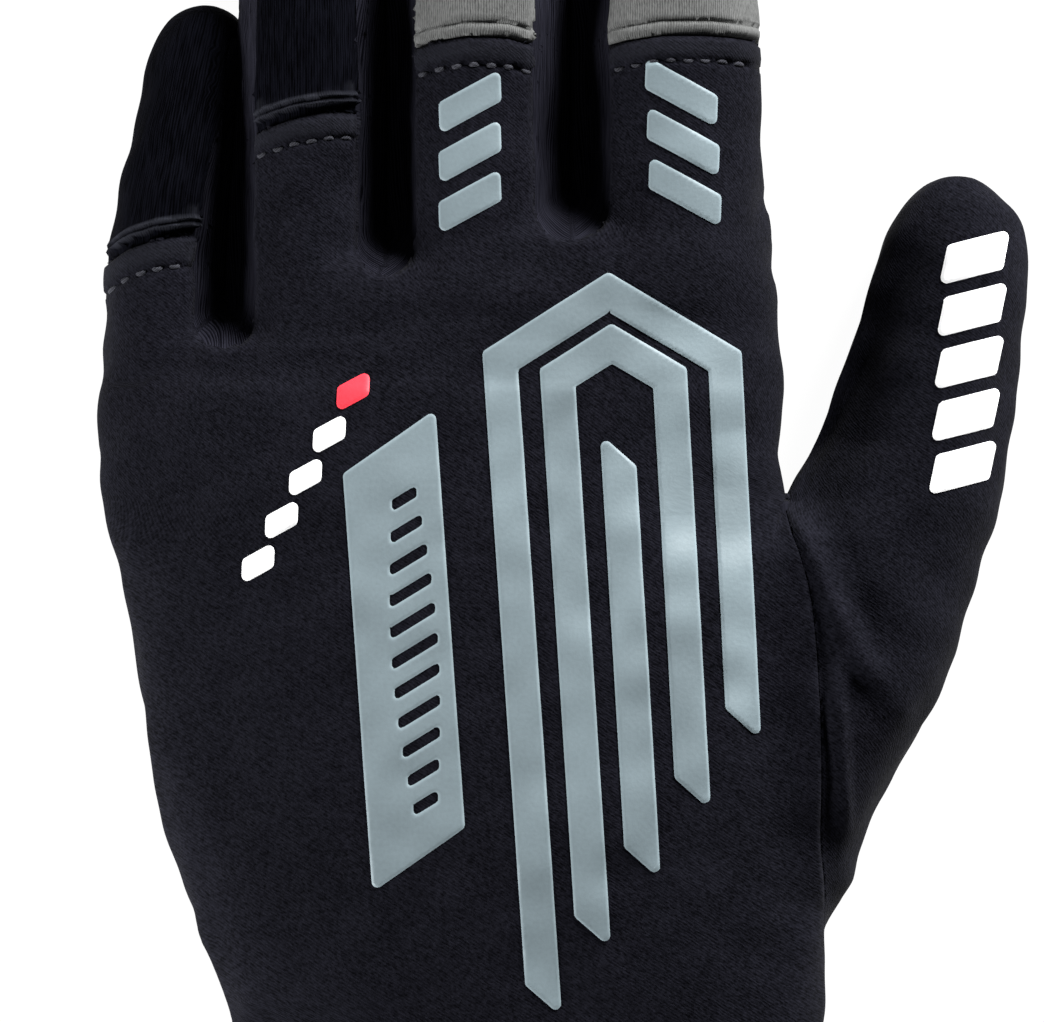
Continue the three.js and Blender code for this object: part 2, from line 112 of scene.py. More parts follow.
# Sections, in the same shares as the model's: of a finger's length, width and thickness, of the palm's
# or cuff's length and the palm's width and thickness, and of the thumb's
FINGER_ROWS = rows(
    "along width top lift",
    (-0.24, 0.80, 0.98, 0.30),
    (-0.06, 0.99, 1.15, 0.00),
    (0.10, 1.00, 1.11, 0.02),
    (0.28, 0.98, 1.06, 0.07),
    (0.45, 0.98, 1.05, 0.11),
    (0.61, 0.95, 0.96, 0.08),
    (0.76, 0.92, 0.84, 0.03),
    (0.88, 0.84, 0.71, 0.00),
    (0.95, 0.68, 0.60, 0.01),
    (0.988, 0.40, 0.47, 0.06),
)
FINGER_TIP_HEIGHT = 0.28
HAND_ROWS = rows(
    "along left right top",
    (0.00, -0.292, 0.596, 0.89),
    (0.10, -0.335, 0.604, 0.925),
    (0.20, -0.385, 0.599, 0.97),
    (0.32, -0.424, 0.592, 1.00),
    (0.45, -0.450, 0.589, 1.00),
    (0.58, -0.474, 0.577, 0.98),
    (0.67, -0.504, 0.535, 0.95),
    (0.76, -0.504, 0.527, 0.90),
    (0.81, -0.501, 0.522, 0.86),
)
BLOCK_ROWS = rows(
    "along top lift narrow",
    (0.69, 0.79, 0.10, 1.00),
    (0.84, 0.82, 0.02, 0.10),
)
WEB_ROWS = rows(
    "down top lift narrow",
    (-0.60, 0.80, 0.00, 0.12),
    (0.00, 0.75, 0.00, 0.22),
    (0.35, 0.64, 0.02, 0.35),
    (0.70, 0.50, 0.06, 0.50),
    (1.00, 0.34, 0.14, 0.80),
)
CUFF_ROWS = rows(
    "along left right top",
    (0.00, -0.292, 0.596, 0.89),
    (0.22, -0.272, 0.575, 0.87),
    (0.45, -0.262, 0.565, 0.86),
    (0.72, -0.268, 0.571, 0.88),
    (1.00, -0.285, 0.590, 0.93),
)
THUMB_ROWS = rows(
    "along inner outer top lift",
    (-1.34, -0.60, 0.20, 0.70, 0.10),
    (-1.22, -0.56, 0.35, 0.88, 0.03),
    (-1.16, -0.55, 0.425, 0.95, 0.01),
    (-1.08, -0.54, 0.46, 1.02, 0.00),
    (-0.86, -0.50, 0.65, 1.14, 0.00),
    (-0.54, -0.44, 0.94, 1.18, 0.00),
    (-0.19, -0.38, 1.19, 1.12, 0.00),
    (0.00, 0.05, 1.32, 1.07, 0.00),
    (0.08, 0.11, 1.34, 1.05, 0.00),
    (0.22, 0.245, 1.37, 1.02, 0.00),
    (0.43, 0.40, 1.42, 0.97, 0.00),
    (0.61, 0.51, 1.46, 0.90, 0.00),
    (0.77, 0.61, 1.47, 0.80, 0.00),
    (0.89, 0.72, 1.39, 0.66, 0.00),
    (0.965, 0.86, 1.25, 0.50, 0.02),
)
THUMB_TIP = {"side": 1.07, "height": 0.26}
THUMB_SEAM = rows(
    "along side",
    (-1.40, 0.50),
    (-1.335, 0.275),
    (-1.29, 0.245),
    (-1.20, 0.235),
    (-1.06, 0.225),
    (-0.79, 0.225),
    (-0.51, 0.205),
    (-0.335, 0.175),
    (-0.18, 0.115),
    (-0.09, 0.06),
    (0.00, 0.035),
)
THUMB_SEAM_PAST_CROTCH = rows("side along", (0.07, 0.10), (0.07, 1.35))
STRIP_ROWS = rows("along inset", (0.06, 1.0), (0.40, 0.95), (0.70, 0.85), (0.90, 0.95))

# Section shape: a superellipse, widest below its middle
WIDEST_SHARE = 0.44
CROWN_POWER = 2.3
BASE_POWER = 2.8
FAR = 400.0


def monotone(x, y, at):
    """Monotone cubic interpolation through the rows."""
    step = np.diff(x)
    slope = np.diff(y) / step
    tangent = np.zeros_like(y)
    before, after = slope[:-1], slope[1:]
    turning = before * after <= 0
    w1 = 2 * step[1:] + step[:-1]
    w2 = step[1:] + 2 * step[:-1]
    with np.errstate(divide="ignore", invalid="ignore"):
        mean = (w1 + w2) / (w1 / before + w2 / after)
    tangent[1:-1] = np.where(turning, 0.0, mean)
    tangent[0], tangent[-1] = slope[0], slope[-1]
    i = np.clip(np.searchsorted(x, at) - 1, 0, len(x) - 2)
    t = np.clip((at - x[i]) / step[i], 0.0, 1.0)
    h = step[i]
    return (
        (1 + 2 * t) * (1 - t) ** 2 * y[i]
        + t * (1 - t) ** 2 * h * tangent[i]
        + t * t * (3 - 2 * t) * y[i + 1]
        + t * t * (t - 1) * h * tangent[i + 1]
    )


def finger_left(index):
    return -PALM_WIDTH / 2 + FINGERS["width"][:index].sum() + FINGER_GAP * index


def finger_middle(index):
    return finger_left(index) + FINGERS["width"][index] / 2


HAND_RIGHT = HAND_ROWS["right"][-1] * PALM_WIDTH
THUMB_X = looked_up(HAND_ROWS, THUMB_CROTCH, "right") * PALM_WIDTH
THUMB_Y = THUMB_CROTCH * PALM_LENGTH


def palm_place(side, along):
    return np.array([side * PALM_WIDTH, along * PALM_LENGTH])


def thumb_place(side, along):
    return np.array([THUMB_X + side * THUMB_WIDTH, THUMB_Y + along * THUMB_LENGTH])


def finger_place(index):
    def place(side, along):
        x = finger_middle(index) + side * FINGERS["width"][index]
        return np.array([x, (FINGERS["root"][index] + along) * PALM_LENGTH])

    return place


def make_tube(y, left, right, bottom, top, tip=None):
    """Dense section sizes along Y. With a tip, the last sections round off to that point."""
    widest = bottom + (top - bottom) * WIDEST_SHARE
    columns = {
        "middle": (left + right) / 2,
        "half": (right - left) / 2,
        "widest": widest,
        "rise": top - widest,
        "drop": widest - bottom,
    }
    if tip:
        y = np.append(y, tip[1])
        for name, end in {"middle": tip[0], "half": 0, "widest": tip[2], "rise": 0, "drop": 0}.items():
            columns[name] = np.append(columns[name], end)
    at = np.arange(y[0], y[-1] + 0.1, 0.2)
    tube = {"y": at, "start": y[0], "end": y[-1]}
    for name, values in columns.items():
        if tip and name in ("half", "rise", "drop"):
            tube[name] = np.sqrt(np.maximum(monotone(y, values**2, at), 0.01))
        else:
            tube[name] = monotone(y, values, at)
    return tube


def finger_tube(index):
    width, length, thickness = (FINGERS[key][index] for key in ("width", "length", "thickness"))
    root = FINGERS["root"][index] * PALM_LENGTH
    lean = FINGERS["lean"][index] * length
    middle = finger_middle(index) + np.maximum(FINGER_ROWS["along"], 0) * lean
    half = FINGER_ROWS["width"] * width / 2
    tip = (finger_middle(index) + lean, root + length, FINGER_TIP_HEIGHT * thickness)
    return make_tube(
        root + FINGER_ROWS["along"] * length,
        middle - half,
        middle + half,
        FINGER_ROWS["lift"] * thickness - REST_FLATTENING,
        FINGER_ROWS["top"] * thickness,
        tip,
    )


def thumb_tube():
    inner, y = thumb_place(THUMB_ROWS["inner"], THUMB_ROWS["along"])
    outer, _ = thumb_place(THUMB_ROWS["outer"], THUMB_ROWS["along"])
    return make_tube(
        y,
        inner,
        outer,
        THUMB_ROWS["lift"] * THUMB_THICKNESS - REST_FLATTENING,
        THUMB_ROWS["top"] * THUMB_THICKNESS,
        (*thumb_place(THUMB_TIP["side"], 1), THUMB_TIP["height"] * THUMB_THICKNESS),
    )


def web_sections(crotch, left):
    """Sections down into the web past a crotch, as arrays of y, left, right, bottom and top."""
    narrow = WEB_ROWS["narrow"] * GUSSET_INSET
    return np.array([
        crotch * PALM_LENGTH + WEB_ROWS["down"] * WEB_DEPTH,
        left + narrow,
        HAND_RIGHT - narrow,
        WEB_ROWS["lift"] * PALM_THICKNESS - REST_FLATTENING,
        WEB_ROWS["top"] * PALM_THICKNESS,
    ])


def hand_tube():
    """The cuff and the hand, past the cuff's open end, to the little finger's crotch."""
    sections = []
    for table, length in ((CUFF_ROWS, -CUFF_LENGTH), (HAND_ROWS, PALM_LENGTH)):
        bottom = np.full_like(table["along"], -REST_FLATTENING)
        sides = [table[side] * PALM_WIDTH for side in ("left", "right")]
        sections.append(np.array([table["along"] * length, *sides, bottom, table["top"] * PALM_THICKNESS]))
    cuff = sections[0][:, :0:-1]
    past_end = cuff[:, :1].copy()
    past_end[0] -= PALM_THICKNESS
    web = web_sections(CROTCHES[0], -PALM_WIDTH / 2)
    return make_tube(*np.hstack([past_end, cuff, sections[1], web]))


def knuckle_tube(first_finger, crotch):
    left = finger_left(first_finger)
    narrow = BLOCK_ROWS["narrow"] * GUSSET_INSET
    start = np.array([
        BLOCK_ROWS["along"] * PALM_LENGTH,
        left + narrow,
        HAND_RIGHT - narrow,
        BLOCK_ROWS["lift"] * PALM_THICKNESS - REST_FLATTENING,
        BLOCK_ROWS["top"] * PALM_THICKNESS,
    ])
    return make_tube(*np.hstack([start, web_sections(crotch, left)]))


def tube_distance(tube, points, margin=12.0):
    """Roughly how far points lie outside a tube; inside it is negative. Points far off get the margin."""
    found = np.full(len(points), margin)
    widest_half = tube["half"].max()
    middle_low, middle_high = tube["middle"].min(), tube["middle"].max()
    near = (
        (points[:, 1] > tube["start"] - margin)
        & (points[:, 1] < tube["end"] + margin)
        & (points[:, 0] > middle_low - widest_half - margin)
        & (points[:, 0] < middle_high + widest_half + margin)
    )
    x, y, z = points[near].T
    middle, half, widest, rise, drop = looked_up(tube, y, "middle", "half", "widest", "rise", "drop")
    above = z >= widest
    height = np.maximum(np.where(above, rise, drop), 0.1)
    half = np.maximum(half, 0.1)
    power = np.where(above, CROWN_POWER, BASE_POWER)
    across = np.abs(x - middle) / half
    up = np.abs(z - widest) / height
    size = np.maximum((across**power + up**power) ** (1 / power), 1e-3)
    slope = np.hypot((across / size) ** (power - 1) / half, (up / size) ** (power - 1) / height)
    gap = (size - 1) / np.maximum(slope, 1e-3)
    gap = np.maximum(gap, y - tube["end"])
    found[near] = np.minimum(np.maximum(gap, tube["start"] - y), margin)
    return found


def blended(a, b, radius):
    """The smooth union of two distances."""
    share = np.clip(0.5 + 0.5 * (b - a) / radius, 0, 1)
    return b * (1 - share) + a * share - radius * share * (1 - share)


TUBES = {
    "hand": hand_tube(),
    "ring_block": knuckle_tube(RING, CROTCHES[1]),
    "middle_block": knuckle_tube(MIDDLE, CROTCHES[2]),
    "fingers": [finger_tube(index) for index in range(4)],
    "thumb": thumb_tube(),
}
BLOCK_BLEND = 4.0
FINGER_BLEND = 3.5
# The thumb joins the hand softly at its foot and sharply at the crotch
THUMB_BLEND = rows("y radius", (55.0, 3.2), (68.0, 3.0), (79.0, 0.6))
FLOOR_BLEND = 1.6


def glove_distance(points):
    body = tube_distance(TUBES["hand"], points)
    for name in ("ring_block", "middle_block"):
        body = blended(body, tube_distance(TUBES[name], points), BLOCK_BLEND)
    whole = body
    for tube in TUBES["fingers"]:
        whole = np.minimum(whole, blended(body, tube_distance(tube, points), FINGER_BLEND))
    radius = looked_up(THUMB_BLEND, points[:, 1], "radius")
    whole = np.minimum(whole, blended(body, tube_distance(TUBES["thumb"], points), radius))
    return -blended(-whole, points[:, 2], FLOOR_BLEND)


def grid_surface(distance, low, high, step):
    """A mesh of quads where distance is zero, one point in each grid cell that it crosses."""
    counts = [int(math.ceil((high[axis] - low[axis]) / step)) + 1 for axis in range(3)]
    axes = [low[axis] + step * np.arange(counts[axis]) for axis in range(3)]
    value = np.empty(counts)
    for j, y in enumerate(axes[1]):
        xx, zz = np.meshgrid(axes[0], axes[2], indexing="ij")
        slice_points = np.stack([xx.ravel(), np.full(xx.size, y), zz.ravel()], 1)
        value[:, j, :] = distance(slice_points).reshape(xx.shape)
    inside = value < 0
    cells = [count - 1 for count in counts]
    corner = lambda grid, i, j, k: grid[i:i + cells[0], j:j + cells[1], k:k + cells[2]]
    offsets = [(i, j, k) for i in (0, 1) for j in (0, 1) for k in (0, 1)]
    total = sum(corner(inside, *offset).astype(np.int8) for offset in offsets)
    active = (total > 0) & (total < 8)
    number = np.full(cells, -1)
    number[active] = np.arange(active.sum())
    place = np.zeros((active.sum(), 3))
    crossings = np.zeros(active.sum())
    for a in offsets:
        for axis in range(3):
            if a[axis]:
                continue
            b = tuple(1 if n == axis else a[n] for n in range(3))
            va, vb = corner(value, *a)[active], corner(value, *b)[active]
            crossed = (va < 0) != (vb < 0)
            share = np.where(crossed, va / np.where(crossed, va - vb, 1), 0)
            point = np.array(a, float) + share[:, None] * (np.array(b) - np.array(a))
            place += crossed[:, None] * point
            crossings += crossed
    base = np.stack(np.nonzero(active), 1)
    points = np.array(low) + step * (base + place / crossings[:, None])
    quads = []
    for axis in range(3):
        u, v = (axis + 1) % 3, (axis + 2) % 3
        first = [slice(1, -1)] * 3
        first[axis] = slice(0, counts[axis] - 1)
        second = list(first)
        second[axis] = slice(1, counts[axis])
        a, b = inside[tuple(first)], inside[tuple(second)]
        at = np.stack(np.nonzero(a != b), 1)
        outward = a[tuple(at.T)]
        at[:, u] += 1
        at[:, v] += 1
        ring = []
        for du, dv in ((-1, -1), (0, -1), (0, 0), (-1, 0)):
            cell = at.copy()
            cell[:, u] += du
            cell[:, v] += dv
            ring.append(number[tuple(cell.T)])
        ring = np.stack(ring, 1)
        ring[~outward] = ring[~outward][:, ::-1]
        quads.append(ring)
    return points, np.vstack(quads)


def gradient(distance, points, step=0.15):
    found = np.empty_like(points)
    for axis in range(3):
        shift = np.zeros(3)
        shift[axis] = step
        found[:, axis] = (distance(points + shift) - distance(points - shift)) / (2 * step)
    return found


def drawn_to(distance, points, rounds=2, reach=0.6):
    """Points moved onto the surface where distance is zero."""
    for _ in range(rounds):
        slope = gradient(distance, points)
        size = np.maximum((slope**2).sum(1), 0.05)
        move = (distance(points) / size)[:, None] * slope
        length = np.maximum(np.linalg.norm(move, axis=1), 1e-9)
        points = points - move * np.minimum(1, reach / length)[:, None]
    return points


def normals_of(points, tris):
    a, b, c = (points[tris[:, n]] for n in range(3))
    face = np.cross(b - a, c - a)
    found = np.zeros_like(points)
    for axis in range(3):
        for n in range(3):
            found[:, axis] += np.bincount(tris[:, n], face[:, axis], len(points))
    return found / np.maximum(np.linalg.norm(found, axis=1), 1e-12)[:, None]


def edges_of(tris):
    """Each undirected edge once, and the edge number of each triangle's sides."""
    sides = np.vstack([tris[:, [0, 1]], tris[:, [1, 2]], tris[:, [2, 0]]])
    low, high = sides.min(1), sides.max(1)
    count = high.max() + 1
    codes, back = np.unique(low * count + high, return_inverse=True)
    return np.stack([codes // count, codes % count], 1), back.reshape(3, -1).T


def cut(points, tris, side_of, snap=0.22):
    """Splits triangles along the line where side_of is zero. Points near the line are moved onto it."""
    value = side_of(points)
    sign = np.sign(value)
    crossed = (sign[tris].min(1) < 0) & (sign[tris].max(1) > 0)
    if not crossed.any():
        return points, tris
    edges, _ = edges_of(tris[crossed])
    moved = points.copy()
    for low, high in ((0, 1), (1, 0)):
        a, b = edges[:, low], edges[:, high]
        opposed = value[a] * value[b] < 0
        a, b = a[opposed], b[opposed]
        share = value[a] / (value[a] - value[b])
        order = np.argsort(-share)
        order = order[share[order] < snap]
        a, b, share = a[order], b[order], share[order]
        moved[a] = points[a] + share[:, None] * (points[b] - points[a])
        value[a] = 0.0
    points = moved
    sign = np.sign(value)
    corner = sign[tris]
    crossing = (corner.min(1) < 0) & (corner.max(1) > 0)
    if not crossing.any():
        return points, tris
    kept, split = tris[~crossing], tris[crossing]
    edges, number = edges_of(split)
    a, b = edges.T
    opposed = value[a] * value[b] < 0
    share = np.where(opposed, value[a] / np.where(opposed, value[a] - value[b], 1), 0)
    fresh = points[a] + share[:, None] * (points[b] - points[a])
    name = np.where(opposed, len(points) + np.cumsum(opposed) - 1, -1)
    points = np.vstack([points, fresh[opposed]])
    corner = sign[split]
    made = []
    for turn in range(3):
        order = [(turn + n) % 3 for n in range(3)]
        p, q, r = (split[:, n] for n in order)
        sp, sq, sr = (corner[:, n] for n in order)
        pq, qr, rp = (name[number[:, n]] for n in order)
        through = (sp == 0) & (sq * sr < 0)
        made.append(np.stack([p, q, qr], 1)[through])
        made.append(np.stack([p, qr, r], 1)[through])
        alone = (sp * sq < 0) & (sp * sr < 0)
        made.append(np.stack([p, pq, rp], 1)[alone])
        made.append(np.stack([pq, q, r], 1)[alone])
        made.append(np.stack([pq, r, rp], 1)[alone])
    return points, np.vstack([kept, *made])


def outline_side(outline):
    """Signed distance in plan to a closed outline, negative inside it."""
    outline = np.array(outline, float)
    following = np.roll(outline, -1, axis=0)

    def side(points):
        at = points[:, :2]
        nearest = np.full(len(at), FAR)
        within = np.zeros(len(at), bool)
        for a, b in zip(outline, following):
            run = b - a
            share = np.clip(((at - a) @ run) / (run @ run), 0, 1)
            nearest = np.minimum(nearest, np.linalg.norm(at - a - share[:, None] * run, axis=1))
            spans = (a[1] > at[:, 1]) != (b[1] > at[:, 1])
            with np.errstate(divide="ignore", invalid="ignore"):
                crossing = a[0] + (at[:, 1] - a[1]) * run[0] / run[1]
            within ^= spans & (at[:, 0] < crossing)
        return np.where(within, -nearest, nearest)

    return side


def strip_outline(index):
    """The long U of the side strip between a finger and the next."""
    crotch_y = CROTCHES[index] * PALM_LENGTH

    def line(finger, side):
        along, inset = STRIP_ROWS["along"], STRIP_ROWS["inset"]
        width, length = FINGERS["width"][finger], FINGERS["length"][finger]
        half = looked_up(FINGER_ROWS, along, "width") * width / 2
        x = finger_middle(finger) + along * FINGERS["lean"][finger] * length
        y = FINGERS["root"][finger] * PALM_LENGTH + along * length
        return np.stack([x + side * (half - STRIP_INSETS[index] * inset), y], 1)

    left_x = finger_left(index) + FINGERS["width"][index] - STRIP_INSETS[index]
    right_x = finger_left(index + 1) + STRIP_INSETS[index]
    radius = (right_x - left_x) / 2
    left, right = line(index, 1), line(index + 1, -1)
    left, right = (each[each[:, 1] > crotch_y + 1.2 * radius] for each in (left, right))
    angle = np.pi * (1 + np.linspace(0, 1, 13))
    bend_x = (left_x + right_x) / 2 + radius * np.cos(angle)
    bend = np.stack([bend_x, crotch_y + radius * (1 + np.sin(angle))], 1)
    gap_x = finger_left(index + 1) - FINGER_GAP / 2
    over_tip = [[gap_x, right[-1, 1]], [gap_x, min(left[-1, 1], right[-1, 1])]] if index == 0 else []
    return [*left[::-1], *bend, *right, *over_tip]


# How far each finger's seam rises over its mean height, across the finger from the little finger's side
SEAM_ARCHES = rows(
    "across little ring middle index",
    (0.00, -2.6, -3.0, -0.3, -0.3),
    (0.12, -0.6, -1.0, 1.0, 1.0),
    (0.25, 1.0, 0.8, 2.1, 2.1),
    (0.43, 2.2, 2.1, 2.9, 3.0),
    (0.66, 2.8, 3.0, 2.7, 3.0),
    (0.85, 2.6, 3.1, 1.4, 2.4),
    (1.00, 2.0, 2.6, 0.0, 1.5),
)


def finger_span(index):
    left = finger_left(index) - FINGER_GAP / 2
    right = THUMB_X if index == INDEX else finger_left(index + 1) - FINGER_GAP / 2
    return left, right


def over_finger(index, x):
    """Which places lie over a finger. The little finger's reach goes on past its outer side."""
    left, right = finger_span(index)
    return (x < right) & ((x >= left) | (index == LITTLE))


def finger_seam_y(x, drop=0.0):
    """The seam across each finger, an arch over it. It is far off anywhere else."""
    found = np.full(len(x), FAR)
    for index in range(4):
        left, right = finger_span(index)
        arch = looked_up(SEAM_ARCHES, fading(x - left, right - left), FINGER_NAMES[index])
        here = over_finger(index, x)
        found[here] = (FINGERS["seam"][index] * PALM_LENGTH + arch - drop)[here]
    return found


def thumb_seam_x(y):
    """Where the seam between the hand's back and the thumb's saddle lies, from its foot to the crotch."""
    along = (y - THUMB_Y) / THUMB_LENGTH
    return thumb_place(monotone(THUMB_SEAM["along"], THUMB_SEAM["side"], along), along)[0]


def thumb_outline():
    y = THUMB_Y + np.linspace(THUMB_SEAM["along"][0], 0.0, 40) * THUMB_LENGTH
    seam = np.stack([thumb_seam_x(y), y], 1)
    seam = np.vstack([seam, thumb_place(*THUMB_SEAM_PAST_CROTCH.values()).T])
    return [*seam, [FAR, seam[-1, 1]], [FAR, seam[0, 1]]]


HEM_Y = HEM_LENGTH - CUFF_LENGTH
thumb_side = outline_side(thumb_outline())
strip_sides = [outline_side(strip_outline(index)) for index in range(3)]


def side_seam_z(points):
    """The side seam's height: level round the hand, and just under the widest part of each finger and of
    the thumb, so that it doesn't show from above at their tips."""
    x, y, _ = points.T
    found = np.full(len(points), SIDE_SEAM_Z)
    for index, tube in enumerate(TUBES["fingers"]):
        here = over_finger(index, x) & (y > tube["start"])
        found[here] = np.minimum(found, SEAM_UNDER_WIDEST * looked_up(tube, y, "widest"))[here]
    thumb = TUBES["thumb"]
    here = (x > THUMB_X + 2) & (y > thumb["start"])
    found[here] = np.minimum(found, SEAM_UNDER_WIDEST * looked_up(thumb, y, "widest"))[here]
    return found


def panel_of(centres):
    """The name of the panel that each point belongs to."""
    x, y, z = centres.T
    names = np.full(len(centres), "back_panel", dtype=object)
    names[y > finger_seam_y(x)] = "finger_back"
    for index, name in enumerate(FINGER_NAMES):
        names[(names == "finger_back") & over_finger(index, x)] = name + "_finger_back"
    for index, side in enumerate(strip_sides):
        names[side(centres) < 0] = f"{FINGER_NAMES[index]}_{FINGER_NAMES[index + 1]}_gusset"
    below = z < side_seam_z(centres)
    names[below] = "palm_panel"
    in_thumb = (thumb_side(centres) < 0) & (y > 0)
    names[in_thumb & ~below] = "thumb_back"
    names[in_thumb & below] = "thumb_palm"
    names[y < 0] = "cuff"
    names[y < HEM_Y] = "cuff_hem"
    return names


# Soft folds pushed out of the cloth, or in where the height is negative: start and end in plan, the height
# and the half width. Side is 1 on the back of the hand and -1 on the palm
FOLDS = rows(
    "x1 y1 x2 y2 height width side",
    (52.6, 79.0, 59.8, 60.5, 1.4, 1.4, 1),
    (57.4, 66.5, 64.8, 52.0, 1.1, 1.6, 1),
    (60.6, 59.0, 71.0, 45.8, 0.75, 2.5, 1),
    (59.0, 66.0, 59.0, 44.0, 0.8, 1.3, 1),
    (58.6, 55.0, 60.1, 30.0, 1.3, 1.2, 1),
    (46.0, 90.0, 51.0, 64.0, 1.2, 4.5, 1),
    (58.5, 78.0, 65.0, 58.0, -0.7, 2.6, 1),
    (69.0, 77.0, 75.0, 66.0, -0.5, 3.0, 1),
    (-24.0, 99.5, -8.0, 100.5, -0.35, 1.6, 1),
    (-8.0, 106.0, 12.0, 106.5, -0.35, 1.6, 1),
    (2.0, 113.0, 14.0, 113.6, -0.30, 1.6, 1),
    (28.0, 108.0, 44.0, 105.0, -0.35, 2.0, 1),
    (-46.0, 20.0, -30.0, 13.0, 0.45, 3.0, 1),
    (-43.0, 8.0, -25.0, 4.0, -0.45, 3.0, 1),
    (-30.0, 12.0, -5.0, 9.0, 0.40, 3.5, 1),
    (18.0, 8.0, 44.0, 12.0, 0.40, 3.5, 1),
    (-42.0, 86.0, 30.0, 74.0, -0.9, 1.8, -1),
    (-40.0, 70.0, 36.0, 92.0, -0.8, 1.8, -1),
    (38.0, 88.0, 16.0, 10.0, -1.0, 2.2, -1),
    (58.0, 84.0, 74.0, 78.0, -0.8, 1.6, -1),
)
# Where the sides swell in plan: the place, how far along it reaches, by how much, and which way it faces
SWELLS = rows(
    "x y reach push facing",
    (-47.5, 114.0, 12.0, 0.7, -1),
    (-48.0, 86.0, 14.0, 0.5, -1),
    (47.5, 142.0, 20.0, 1.2, 1),
    (71.0, 52.0, 10.0, 1.3, 1),
    (50.3, 93.0, 7.0, 0.9, 1),
    (61.0, 21.0, 5.0, 0.5, 1),
    (-31.0, 4.0, 7.0, 0.9, -1),
)
SWELL_WIDTH = 9.0
SWELL_FADE = 4.0
# The little finger's lean towards the next one, along its length
LITTLE_BEND = rows("along shift", (0.0, 0.0), (0.28, 0.5), (0.45, 1.6), (0.64, 3.2), (0.8, 4.6), (1.0, 6.8))
# Creases across the fingers' undersides, and where they end beside the thumb
FINGER_CREASES = (0.12, 0.42, 0.68)
CREASE_DEPTH = 0.7
CREASE_WIDTH = 1.5
CREASES_END_X = 60.0
# The cuff's gathers: waves along it that waver from side to side, and finer ones across it
GATHER_LENGTH = 6.5
GATHER_HEIGHT = 0.22
GATHER_WAVER = 1.4
GATHER_WAVER_RUN = 9.0
PLEAT_LENGTH = 4.1
PLEAT_HEIGHT = 0.12
RUMPLE_HEIGHT = 0.17
RUMPLE_LENGTHS = (6.0, 22.0)
CONTACT_GAP = 0.45
CONTACT_REACH = 4.0
CONTACT_HEIGHTS = (1.5, 4.5, 11.5, 15.5)
STAGGER = 0.65
STAGGER_LENGTH = 6.0
# How deep the thumb's back falls towards the hand, how far from its inner edge its crest lies, and how deep
# it falls past the crest. Beside the seam it starts level, and up its side it comes in over the rise
THUMB_FALL = rows(
    "y depth reach outer",
    (15.0, 0.0, 8.0, 0.0),
    (40.0, 0.2, 8.0, 0.0),
    (62.0, 0.2, 12.0, 0.5),
    (74.0, 0.5, 18.0, 1.5),
    (80.0, 4.6, 20.0, 2.5),
    (88.0, 8.6, 20.0, 3.0),
    (105.0, 7.5, 20.0, 3.0),
    (126.0, 3.5, 14.0, 2.0),
)
FALL_FROM_SEAM = 4.0
FALL_PAST_CROTCH = 6.0
FALL_POWER = 1.3
FALL_RISE = 8.0


def rumple_of(points):
    """An even, aimless rumple: many slow waves laid over each other."""
    random = np.random.default_rng(11)
    count = 28
    direction = random.normal(size=(count, 3))
    direction /= np.linalg.norm(direction, axis=1)[:, None]
    length = random.uniform(*RUMPLE_LENGTHS, count)
    phase = random.uniform(0, 2 * np.pi, count)
    waves = np.cos(points @ (direction * (2 * np.pi / length)[:, None]).T + phase)
    return waves.sum(1) * math.sqrt(2 / count) * RUMPLE_HEIGHT


def fold_push(points, normals):
    x, y, z = points.T
    push = rumple_of(points)
    for x1, y1, x2, y2, height, width, side in zip(*FOLDS.values()):
        run = np.array([x2 - x1, y2 - y1])
        share = ((x - x1) * run[0] + (y - y1) * run[1]) / (run @ run)
        held = np.clip(share, 0, 1)
        across = np.hypot(x - x1 - held * run[0], y - y1 - held * run[1])
        fade = fading(held, 0.25) * fading(1 - held, 0.25)
        on_side = np.clip((normals[:, 2] * side + 0.1) * 3, 0, 1)
        push += height * fade * on_side * np.exp(-((across / width) ** 2))
    for index in range(4):
        left, right = finger_span(index)
        left = -FAR if index == LITTLE else left
        right = CREASES_END_X if index == INDEX else right
        root, length = FINGERS["root"][index] * PALM_LENGTH, FINGERS["length"][index]
        under = (x > left) & (x < right) & (y > root - 4)
        for along in FINGER_CREASES:
            crease = np.exp(-(((y - root - along * length) / CREASE_WIDTH) ** 2))
            push -= under * CREASE_DEPTH * crease * np.clip(-normals[:, 2] * 3, 0, 1)
    waver = GATHER_WAVER * np.sin(x / GATHER_WAVER_RUN)
    gathers = np.cos(2 * np.pi * y / GATHER_LENGTH + waver) * GATHER_HEIGHT
    gathers += np.cos(2 * np.pi * x / PLEAT_LENGTH) * PLEAT_HEIGHT
    push += fading(-y, 6) * fading(y - HEM_Y + 1, 4) * gathers
    # Where it lies on the ground it keeps flat
    return push * np.where(normals[:, 2] < -0.2, fading(z, 1.5), 1)


def little_bend(y):
    along = (y - FINGERS["root"][LITTLE] * PALM_LENGTH) / FINGERS["length"][LITTLE]
    return looked_up(LITTLE_BEND, along, "shift")


def swollen(points, normals):
    """Sides that swell in plan, and the little finger's bend."""
    points = points.copy()
    for x, y, reach, push, facing in zip(*SWELLS.values()):
        near = np.exp(-(((points[:, 1] - y) / reach) ** 2))
        near *= fading(SWELL_WIDTH - np.abs(points[:, 0] - x), SWELL_FADE)
        points[:, 0] += push * near * facing * np.maximum(normals[:, 0] * facing, 0)
    little = TUBES["fingers"][LITTLE]
    middle, half = looked_up(little, points[:, 1], "middle", "half")
    beside = middle + half + FINGER_GAP / 2
    of_little = points[:, 0] < beside
    points[of_little, 0] += little_bend(points[of_little, 1])
    return points


